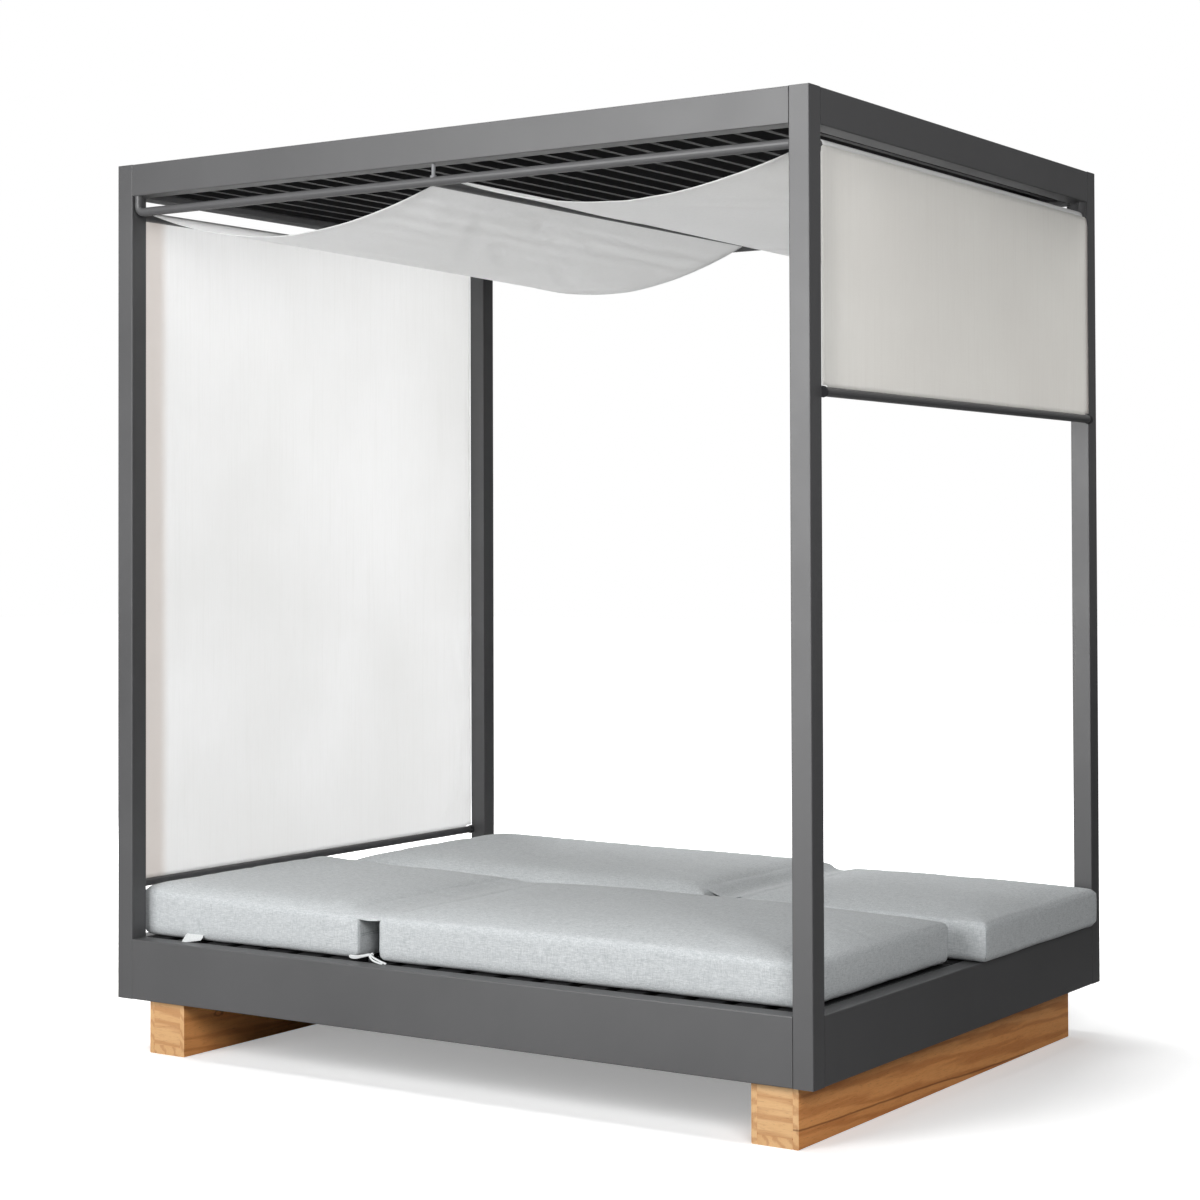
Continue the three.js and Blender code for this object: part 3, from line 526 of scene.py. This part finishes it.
def dressFrame():
    for name in nodes:
        if name.startswith(("post_", "base_beam", "top_beam", "canopy_rod")):
            dress(name, frameCoat)
        elif name.endswith("screen_rod"):
            dress(name, frameCoat)
        elif "hinge_rod" in name or name.endswith("_prop"):
            dress(name, steelFinish)
        elif "hanger" in name:
            dress(name, hangerCoat)
        elif "rod_cap" in name:
            dress(name, capFinish)
        # roof slats, deck, back rests, racks and bearers take the coat darkened by painted shade
        elif any(word in name for word in ("deck", "back_rest", "rack", "bearer", "roof_slat")):
            dress(name, shadedRoofCoat)


def dressFeet():
    seed = 1
    for side in ("left", "right"):
        for part, along in (("left_board", "y"), ("right_board", "y"), ("bottom_board", "y"),
                            ("front_panel", "x"), ("back_panel", "x")):
            name = f"{side}_foot_{part}"
            knot, gum = wood["knots"].get(name), wood["gum"].get(name)
            dress(name, teak(name + "_teak", along, seed, knot, gum))
            seed += 1


dressFrame()
dressFeet()
print("frame and feet dressed")


# canopy: one long cloth from the left screen rod over three rods to the right screen rod

cloth = {
    "rodHeight": 2.111,
    "rodReach": 0.0123,  # from a rod's axis to the middle of the cloth
    "outerRod": 0.988,  # x of the left and right rods
    "sags": ((0.092, 0.118), (0.086, 0.114)),  # left and right swag, front and back
    "frontEdge": 0.707,  # half the cloth's width
    "elbowEdge": 0.679,  # and beside the turned-up ends of the long rods
    "elbowReach": 0.56,
    "thick": 0.0014,
    "rows": 110,
    "swags": (-0.5, 0.5, 0.24),  # the middles of the two swags, and their reach
    "ripple": 0.0024,
    "fineRipple": 0.0012,
    "curl": (0.004, 0.02),  # of both free edges: depth, share of the width
    "creases": [
        # x, y, turn in degrees, length, width, depth
        (-0.16, -0.50, -34, 0.13, 0.024, 0.0085),
        (-0.24, -0.30, -42, 0.16, 0.026, 0.0090),
        (-0.13, -0.16, -28, 0.15, 0.022, 0.0080),
        (-0.33, -0.06, -36, 0.16, 0.028, 0.0085),
        (-0.18, 0.16, -24, 0.17, 0.024, 0.0080),
        (-0.40, 0.30, -30, 0.15, 0.028, 0.0070),
        (0.22, -0.30, 30, 0.15, 0.024, 0.0070),
        (0.34, 0.10, 24, 0.17, 0.026, 0.0065),
        (0.66, -0.44, 32, 0.14, 0.024, 0.0070),
    ],
}


def newPiece(name, verts, faces, material, body, smooth=True):
    mesh = bpy.data.meshes.new(name)
    mesh.from_pydata([tuple(v) for v in verts], [], faces)
    mesh.update()
    for face in mesh.polygons:
        face.use_smooth = smooth
    mesh.materials.append(material)
    piece = bpy.data.objects.new(name, mesh)
    bpy.context.scene.collection.objects.link(piece)
    if body:
        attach(piece, body)
    return piece


def gridFaces(rows, columns):
    return [(i * columns + j, i * columns + j + 1, (i + 1) * columns + j + 1, (i + 1) * columns + j)
            for i in range(rows - 1) for j in range(columns - 1)]


def applyAll(piece):
    bpy.context.view_layer.update()
    graph = bpy.context.evaluated_depsgraph_get()
    mesh = bpy.data.meshes.new_from_object(piece.evaluated_get(graph))
    piece.modifiers.clear()
    piece.data = mesh
    for face in mesh.polygons:
        face.use_smooth = True


def thicken(piece, thick):
    shell = piece.modifiers.new("thick", "SOLIDIFY")
    shell.thickness = thick
    shell.offset = 0
    applyAll(piece)


def roofLine(sags, steps=60, wrap=8):
    reach, outer, height = cloth["rodReach"], cloth["outerRod"], cloth["rodHeight"]
    line = []
    arrive = math.pi
    for k, x in enumerate((-outer, 0, outer)):
        slope = math.atan(4 * sags[k] / outer) if k < 2 else math.pi / 2
        leave = math.pi / 2 - slope
        for i in range(wrap + 1):
            turn = arrive + (leave - arrive) * i / wrap
            line.append((x + reach * math.cos(turn), height + reach * math.sin(turn)))
        if k == 2:
            break
        start = (x + reach * math.cos(leave), height + reach * math.sin(leave))
        span = outer - 2 * reach * math.cos(leave)
        for i in range(1, steps):
            share = i / steps
            line.append((start[0] + span * share, start[1] - 4 * sags[k] * share * (1 - share)))
        arrive = math.pi - leave
    return line


def clothEdge(x):
    # the near edge draws in at the left, the far edge at the right
    ease = max(0, 1 - (x + 1) / cloth["elbowReach"])
    return cloth["frontEdge"] - (cloth["frontEdge"] - cloth["elbowEdge"]) * ease * ease


def roofSheet():
    across = cloth["rows"]
    rows = []
    for j in range(across + 1):
        share = j / across
        rows.append(roofLine([a + (b - a) * share for a, b in cloth["sags"]]))
    first, second, reach = cloth["swags"]
    curlDepth, curlShare = cloth["curl"]
    verts = []
    for j, line in enumerate(rows):
        share = j / across
        for x, z in line:
            near, far = -clothEdge(x), clothEdge(-x)
            y = near + (far - near) * share
            hang = sum(math.exp(-((x - middle) / reach) ** 2) for middle in (first, second))
            ripple = cloth["ripple"] * hang * noise.noise(Vector((x * 5, share * 2.6, 3.1)))
            ripple += cloth["fineRipple"] * hang * noise.noise(Vector((x * 16, share * 3.4, 8.4)))
            loose = max(0, min(1, abs(x) / 0.06, (0.98 - abs(x)) / 0.1))  # taut over the rods
            ripple += loose * creaseAt(x, y, cloth["creases"])
            edges = sum(math.exp(-(off / curlShare) ** 2) for off in (share, 1 - share))
            verts.append((x, y, z + ripple - curlDepth * hang * edges))
    faces = gridFaces(across + 1, len(rows[0]))
    sheet = newPiece("canopyRoof", verts, faces, roofClothFinish, "bed_frame")
    thicken(sheet, cloth["thick"])
    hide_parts("canopy_roof_cloth")


screens = {
    "edge": 0.7135,
    "plane": 1.0001,
    "capLift": 0.0055,  # the cloth's corners stay above the rod's end caps
    "capStart": 0.686,
    "topRound": (0.005, 0.022),  # of the near and the far upper corner
    "belowRod": 0.0002,  # the cloth's top below the axis of its canopy rod
    "columns": 150,
    "rowHeight": 0.012,
    "freeEdge": 0.07,  # share of the width that wanders at the far edge
    "slide": 1.15,  # how far the left screen rod goes up
    "left": {"low": 0.4185, "ripple": 0.0036, "wave": 0.0045, "seed": 2.0},
    "right": {"low": 1.5975, "ripple": 0.0022, "wave": 0.001, "seed": 7.0},
    "creases": [
        # y, z, turn in degrees, length, width, depth; on the left screen's far lower corner
        (0.640, 0.560, 24, 0.080, 0.012, 0.0075),
        (0.600, 0.470, 48, 0.070, 0.012, 0.006),
        (0.655, 0.690, 8, 0.060, 0.014, 0.005),
        (0.650, 0.930, -14, 0.045, 0.014, 0.0045),
        (0.668, 0.480, 4, 0.050, 0.010, 0.006),
    ],
}


def creaseAt(y, z, creases):
    # soft folds, each a hollow beside a ridge
    depth = 0.0
    for middleY, middleZ, turn, length, width, deep in creases:
        c, s = math.cos(math.radians(turn)), math.sin(math.radians(turn))
        along = ((z - middleZ) * c + (y - middleY) * s) / length
        across = ((y - middleY) * c - (z - middleZ) * s) / width
        depth += deep * math.exp(-along * along) * across * math.exp(-across * across)
    return depth


def screenSheet(side, material):
    look = screens[side]
    sign = -1 if side == "left" else 1
    top, low = cloth["rodHeight"] - screens["belowRod"], look["low"]
    edge = screens["edge"]
    across, down = screens["columns"], int((top - low) / screens["rowHeight"])
    verts = []
    for i in range(down + 1):
        fall = i / down
        for j in range(across + 1):
            share = j / across
            y = -edge + 2 * edge * share
            z = top + (low - top) * fall
            # still at the rod and in the slot
            held = math.sin(math.pi * fall) ** 0.6 if 0 < fall < 1 else 0
            if abs(y) > screens["capStart"]:
                z += screens["capLift"] * fall ** 30
                turn = screens["topRound"][y > 0]
                drop = (abs(y) - (edge - turn)) / turn
                if drop > 0:
                    z -= turn * (1 - math.sqrt(max(0, 1 - drop * drop))) * (1 - fall) ** 8
            long = noise.noise(Vector((y * 3.2, z * 0.5, look["seed"])))
            fine = noise.noise(Vector((y * 9, z * 1.3, look["seed"] + 5)))
            out = look["ripple"] * held * (long + 0.35 * fine)
            if side == "left":
                out += creaseAt(y, z, screens["creases"]) * min(1, (z - low) / 0.03)
            # the free far edge wanders in and out
            tug = noise.noise(Vector((0, z * 4.5, look["seed"])))
            tug += 0.6 * noise.noise(Vector((3, z * 13, 1)))
            free = screens["freeEdge"]
            y -= look["wave"] * max(0, (share - (1 - free)) / free) * (0.6 + tug) * held
            verts.append((sign * screens["plane"] + out, y, z))
    sheet = newPiece(side + "Screen", verts, gridFaces(down + 1, across + 1), material, None)
    thicken(sheet, cloth["thick"])
    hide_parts(side + "_screen_cloth")
    if side == "left":
        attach(sheet, "bed_frame")
        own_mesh(sheet)
    else:
        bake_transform(sheet)


roofSheet()
screenSheet("left", leftClothFinish)
screenSheet("right", rightClothFinish)
print("canopy hung")


# cushions

pads = {
    # each stands for a node and rides on a body; edgeHeight is the height of its sides;
    # rise is how far the top may swell; flatness is small for a flat top with quick edges and
    # large for a round one; grow is how far the cover stands out of the foam at low x, high x,
    # low y and high y; ends is how much fuller the low x end and the high x end are
    "cushions": {
        "frontBackCushion": {
            "node": "front_back_cushion", "body": "front_back_rest_body",
            "edgeHeight": 0.111, "rise": 0.019, "flatness": 0.26,
            "grow": (0.021, -0.011, 0.002, 0), "ends": (0.012, -0.006), "zipSide": 1,
        },
        "frontSeatCushion": {
            "node": "front_seat_cushion", "body": "bed_frame",
            "edgeHeight": 0.111, "rise": 0.023, "flatness": 0.62,
            "grow": (0.013, 0, 0.002, 0), "ends": (-0.004, -0.012), "zipSide": -1,
        },
        "backBackCushion": {
            "node": "back_back_cushion", "body": "back_back_rest_body",
            "edgeHeight": 0.102, "rise": 0.018, "flatness": 0.62,
            "grow": (0, 0.012, -0.022, 0), "ends": (0, -0.005), "zipSide": -1,
        },
        "backSeatCushion": {
            "node": "back_seat_cushion", "body": "bed_frame",
            "edgeHeight": 0.109, "rise": 0.024, "flatness": 0.34,
            "grow": (0.004, 0, 0, 0), "ends": (0.010, 0), "zipSide": 1,
        },
    },
    "sideInset": 0.002,
    "corner": 0.006,
    "topEdge": 0.016,
    "lowEdge": 0.022,
    "voxel": 0.0085,
    "air": {  # the cloth simulation of a cover with air in it
        "quality": 5, "mass": 0.3, "tension_stiffness": 18, "compression_stiffness": 18,
        "shear_stiffness": 6, "bending_stiffness": 1.2,
        "use_pressure": True, "uniform_pressure_force": 4.0,
    },
    "steps": 20,  # frames that the air gets
    "spread": 0.0055,  # how far the sides may belly out
    "pull": 0.3,  # share of the cloth's inward pull at the edges that is kept
    "dent": 0.0016,  # unevenness of the foam
    "fillShare": 0.85,
}


def slab(name, low, high):
    mesh = bpy.data.meshes.new(name)
    shape = bmesh.new()
    bmesh.ops.create_cube(shape, size=1)
    for vert in shape.verts:
        for k in range(3):
            vert.co[k] = low[k] if vert.co[k] < 0 else high[k]
    upright = [e for e in shape.edges if abs(e.verts[0].co.z - e.verts[1].co.z) > 1e-4]
    bmesh.ops.bevel(shape, geom=upright, offset=pads["corner"], segments=4, profile=0.5,
                    affect="EDGES")
    for level, offset in ((high[2], pads["topEdge"]), (low[2], pads["lowEdge"])):
        rim = [e for e in shape.edges if all(abs(v.co.z - level) < 1e-5 for v in e.verts)]
        bmesh.ops.bevel(shape, geom=rim, offset=offset, segments=5, profile=0.5, affect="EDGES")
    shape.to_mesh(mesh)
    shape.free()
    piece = bpy.data.objects.new(name, mesh)
    bpy.context.scene.collection.objects.link(piece)
    return piece


def remesh(piece, size):
    voxel = piece.modifiers.new("voxel", "REMESH")
    voxel.mode = "VOXEL"
    voxel.voxel_size = size
    applyAll(piece)


def coords(mesh):
    flat = np.empty(len(mesh.vertices) * 3, np.float32)
    mesh.vertices.foreach_get("co", flat)
    return flat.reshape(-1, 3).astype(float)


def setCoords(mesh, points):
    mesh.vertices.foreach_set("co", np.asarray(points, np.float32).ravel())
    mesh.update()


def swell(piece, low, high, rise, flat):
    # air pressure in the cover, with a cap on how far each point may move
    rest = coords(piece.data)
    puff = piece.modifiers.new("puff", "CLOTH")
    for key, value in pads["air"].items():
        setattr(puff.settings, key, value)
    puff.settings.effector_weights.gravity = 0
    puff.collision_settings.use_collision = False
    puff.collision_settings.use_self_collision = False
    puff.point_cache.frame_start = 1
    puff.point_cache.frame_end = pads["steps"]
    scene = bpy.context.scene
    for step in range(1, pads["steps"] + 1):
        scene.frame_set(step)
    graph = bpy.context.evaluated_depsgraph_get()
    made = coords(piece.evaluated_get(graph).to_mesh())
    piece.modifiers.clear()
    scene.frame_set(1)
    move = made - rest
    points = rest.copy()
    up = np.clip(move[:, 2], 0, None) / (flat * move[:, 2].max())
    points[:, 2] += rise * np.tanh(up) / math.tanh(1 / flat)
    for k in (0, 1):
        side = np.sign(rest[:, k] - (low[k] + high[k]) / 2)
        out = move[:, k] * side * pads["spread"] / np.abs(move[:, k]).max()
        points[:, k] += side * np.where(out > 0, out, pads["pull"] * out)
    points[:, 2] = np.maximum(points[:, 2], low[2])
    setCoords(piece.data, points)


def fill(piece, low, high, lowEnd, highEnd):
    # foam that is fuller or flatter at an end
    points = coords(piece.data)
    share = np.clip((points[:, 0] - low[0]) / (high[0] - low[0]), 0, 1)
    height = np.clip((points[:, 2] - low[2]) / (high[2] - low[2]), 0, 1)
    points[:, 2] += height * (lowEnd * (1 - share) ** 3 + highEnd * share ** 3)
    setCoords(piece.data, points)


def soften(piece, seed, low):
    # shallow dents and pulls that foam under a cover shows
    points = coords(piece.data)
    normals = np.empty(len(points) * 3, np.float32)
    piece.data.vertices.foreach_get("normal", normals)
    normals = normals.reshape(-1, 3)
    for i, point in enumerate(points):
        place = Vector(point)
        wide = noise.noise(place * 5 + Vector((seed, 0, 0)))
        small = noise.noise(place * 19 + Vector((0, seed, 0)))
        push = pads["dent"] * (wide + 0.45 * small)
        points[i] += normals[i] * push
    points[:, 2] = np.maximum(points[:, 2], low[2])
    setCoords(piece.data, points)


def skinOf(piece):
    points = [vert.co.copy() for vert in piece.data.vertices]
    return BVHTree.FromPolygons(points, [tuple(face.vertices) for face in piece.data.polygons])


def heightOn(skin, x, y):
    hit = skin.ray_cast(Vector((x, y, 1)), Vector((0, 0, -1)))[0]
    return hit.z if hit else None


def makeCushion(name, seed):
    look = pads["cushions"][name]
    low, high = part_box(look["node"])
    inset = pads["sideInset"]
    lowX, highX, lowY, highY = look["grow"]
    start = (low.x + inset - lowX, low.y + inset - lowY, low.z)
    end = (high.x - inset + highX, high.y - inset + highY, low.z + look["edgeHeight"])
    spans[name] = (Vector(start), Vector(end))
    piece = slab(name, start, end)
    remesh(piece, pads["voxel"])
    swell(piece, start, end, look["rise"], look["flatness"])
    fill(piece, start, end, *look["ends"])
    finer = piece.modifiers.new("finer", "SUBSURF")
    finer.levels = 1
    finer.render_levels = 1
    applyAll(piece)
    soften(piece, seed, start)
    piece.data.materials.clear()
    piece.data.materials.append(coverFinish)
    skins[name] = skinOf(piece)
    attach(piece, look["body"])
    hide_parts(look["node"])
    print(name, len(piece.data.vertices), "points")
    return piece


skins = {}
spans = {}
for order, name in enumerate(pads["cushions"]):
    makeCushion(name, order * 11.3)


seams = {
    "radius": 0.0011,
    "sink": 0.0004,  # how deep the yarn sits in the cover
    "reach": 0.08,  # how far outside the look for the cover starts
    "fromBottom": 0.010,
    "fromTop": 0.012,
    "fromCorner": 0.004,
    "cornerSteps": 16,
    "zipHeight": 0.52,  # share of the side's height
    "zipApart": 0.0045,
    "zipFromEnds": 0.008,
    "zipSteps": 70,
}


def tube(path, radius, sides=6):
    verts, faces = [], []
    for i, point in enumerate(path):
        ahead = (path[min(i + 1, len(path) - 1)] - path[max(i - 1, 0)]).normalized()
        other = Vector((0, 0, 1)) if abs(ahead.z) < 0.9 else Vector((1, 0, 0))
        across = ahead.cross(other).normalized()
        above = across.cross(ahead)
        for k in range(sides):
            turn = 2 * math.pi * k / sides
            verts.append(point + radius * (math.cos(turn) * across + math.sin(turn) * above))
    for i in range(len(path) - 1):
        for k in range(sides):
            here, beside = i * sides + k, i * sides + (k + 1) % sides
            faces.append((here, here + sides, beside + sides, beside))
    faces.append(tuple(range(sides)))
    faces.append(tuple(reversed(range(len(verts) - sides, len(verts)))))
    return verts, faces


def pressed(skin, spots, direction):
    # points of the cover under a row of spots, seen along a direction
    path = []
    for spot in spots:
        hit = skin.ray_cast(spot - direction * seams["reach"], direction)[0]
        if hit:
            path.append(hit + direction * seams["sink"])
    return path


def sewSeams(name):
    look = pads["cushions"][name]
    low, high = spans[name]
    skin = skins[name]
    paths = []
    bottom, top = low.z + seams["fromBottom"], high.z - seams["fromTop"]
    steps = seams["cornerSteps"]
    levels = [bottom + (top - bottom) * i / steps for i in range(steps + 1)]
    inset = seams["fromCorner"]
    for sx, x in ((-1, low.x), (1, high.x)):
        for sy, y in ((-1, low.y), (1, high.y)):
            inward = Vector((-sx, -sy, 0)).normalized()
            start = Vector((x - sx * inset, y - sy * inset, 0))
            paths.append(pressed(skin, [start + Vector((0, 0, z)) for z in levels], inward))
    # the zip, as two yarns along the end that faces the other cushion
    side = look["zipSide"]
    x = high.x if side > 0 else low.x
    middle = low.z + (high.z - low.z) * seams["zipHeight"]
    inset, steps = seams["zipFromEnds"], seams["zipSteps"]
    length = high.y - low.y - 2 * inset
    for z in (middle - seams["zipApart"] / 2, middle + seams["zipApart"] / 2):
        spots = [Vector((x, low.y + inset + length * i / steps, z)) for i in range(steps + 1)]
        paths.append(pressed(skin, spots, Vector((-side, 0, 0))))
    verts, faces = [], []
    for path in paths:
        more, sides = tube(path, seams["radius"])
        faces += [tuple(len(verts) + k for k in face) for face in sides]
        verts += more
    piece = newPiece(name + "Seams", verts, faces, seamFinish, look["body"])


for name in pads["cushions"]:
    sewSeams(name)
print("seams sewn")


folds = {
    "front": ("frontBackCushion", "frontSeatCushion", "front_back_rest_body"),
    "back": ("backBackCushion", "backSeatCushion", "back_back_rest_body"),
    "lap": 0.040,
    "lift": 0.0003,  # above the covers
    "sink": 0.0026,  # of both long edges, into the covers
    "sag": {"front": 0.005, "back": 0.014},  # between the cushions
    "thick": 0.0011,
    "rows": 90,
    "columns": 30,
    "hingeHeight": 0.38,
    # how far the strips stop from the cushions' sides
    "ends": {"front": (0.004, 0.004), "back": (0.024, 0.004)},
}


def foldStrip(row):
    backName, seatName, body = folds[row]
    backSkin, seatSkin = skins[backName], skins[seatName]
    backBox, seatBox = spans[backName], spans[seatName]
    facing = 1 if seatBox[0].x > backBox[0].x else -1
    x0 = backBox[1].x if facing > 0 else backBox[0].x
    x1 = seatBox[0].x if facing > 0 else seatBox[1].x
    y0 = max(backBox[0].y, seatBox[0].y) + folds["ends"][row][0]
    y1 = min(backBox[1].y, seatBox[1].y) - folds["ends"][row][1]
    lap = folds["lap"]
    across, along = folds["rows"], folds["columns"]
    verts = []
    for i in range(across + 1):
        # closer rows at both ends
        y = (y0 + y1) / 2 - math.cos(math.pi * i / across) * (y1 - y0) / 2
        zA = heightOn(backSkin, x0 - facing * lap, y)
        zB = heightOn(seatSkin, x1 + facing * lap, y)
        for j in range(along + 1):
            t = j / along
            x = x0 - facing * lap + (x1 - x0 + 2 * facing * lap) * t
            z = zA + (zB - zA) * t - folds["sag"][row] * math.sin(math.pi * t) ** 2 + folds["lift"]
            for skin in (backSkin, seatSkin):
                under = heightOn(skin, x, y)
                if under is not None:
                    z = max(z, under + folds["lift"] * 0.6)
            z -= folds["sink"] * (1 - min(min(t, 1 - t) * 4, 1)) ** 2
            verts.append((x, y, z))
    faces = gridFaces(across + 1, along + 1)
    strip = newPiece(row + "FoldStrip", verts, faces, coverFinish, None)
    thicken(strip, folds["thick"])
    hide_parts(f"{row}_fold_strip")
    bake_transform(strip)


foldStrip("front")
foldStrip("back")
print("fold strips laid")


# tie tapes at the front gap, and the tab under the front back cushion

tapes = {
    "width": 0.0042,
    "thick": 0.0011,
    "faces": (0, -0.72, 0.69),  # the way the tapes look
    "runs": [
        # a short end out of the gap, a flat loop to the left, two ends to the right
        [(-0.224, -0.7014, 0.2975), (-0.2265, -0.7035, 0.3010),
         (-0.229, -0.7060, 0.2990), (-0.232, -0.7080, 0.2960)],
        [(-0.229, -0.7070, 0.2985), (-0.247, -0.7130, 0.2935), (-0.266, -0.7165, 0.2890),
         (-0.281, -0.7165, 0.2900), (-0.283, -0.7160, 0.2935), (-0.268, -0.7155, 0.2930),
         (-0.248, -0.7125, 0.2960), (-0.231, -0.7070, 0.3000)],
        [(-0.231, -0.7070, 0.2990), (-0.213, -0.7120, 0.2925),
         (-0.192, -0.7165, 0.2878), (-0.169, -0.7225, 0.2842)],
        [(-0.231, -0.7085, 0.2960), (-0.217, -0.7150, 0.2885),
         (-0.199, -0.7200, 0.2852), (-0.177, -0.7265, 0.2838)],
    ],
    "tabWidth": 0.056,
    "tabFaces": (0, -0.5, 0.87),
    "tabRun": [(-0.796, -0.6960, 0.3000), (-0.7955, -0.7040, 0.2960),
               (-0.794, -0.7115, 0.2895), (-0.790, -0.7230, 0.2840)],
}


def smoothed(path, steps=8):
    points = [Vector(p) for p in path]
    points = [2 * points[0] - points[1]] + points + [2 * points[-1] - points[-2]]
    line = []
    for i in range(1, len(points) - 2):
        a, b, c, d = points[i - 1:i + 3]
        for k in range(steps):
            t = k / steps
            line.append(0.5 * (2 * b + (c - a) * t + (2 * a - 5 * b + 4 * c - d) * t * t
                               + (3 * b - a - 3 * c + d) * t ** 3))
    return line + [points[-2]]


def ribbon(path, width, outward):
    line = smoothed(path)
    thick = tapes["thick"]
    verts, faces = [], []
    for i, point in enumerate(line):
        ahead = (line[min(i + 1, len(line) - 1)] - line[max(i - 1, 0)]).normalized()
        across = ahead.cross(Vector(outward)).normalized()
        out = across.cross(ahead).normalized()
        for a, b in ((-1, -1), (1, -1), (1, 1), (-1, 1)):
            verts.append(point + across * a * width / 2 + out * b * thick / 2)
    for i in range(len(line) - 1):
        for k in range(4):
            here, beside = 4 * i + k, 4 * i + (k + 1) % 4
            faces.append((here, beside, beside + 4, here + 4))
    faces.append((3, 2, 1, 0))
    end = len(verts) - 4
    faces.append((end, end + 1, end + 2, end + 3))
    return verts, faces


def tieTapes():
    verts, faces = [], []
    for run in tapes["runs"]:
        more, sides = ribbon(run, tapes["width"], tapes["faces"])
        faces += [tuple(len(verts) + k for k in face) for face in sides]
        verts += more
    piece = newPiece("frontTieTape", verts, faces, tapeFinish, "bed_frame", smooth=False)
    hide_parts("front_tie_tape")


def cushionTab():
    verts, faces = ribbon(tapes["tabRun"], tapes["tabWidth"], tapes["tabFaces"])
    piece = newPiece("frontCushionTab", verts, faces, tapeFinish, "front_back_rest_body",
                     smooth=False)
    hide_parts("front_cushion_tab")


tieTapes()
cushionTab()
print("tapes tied")
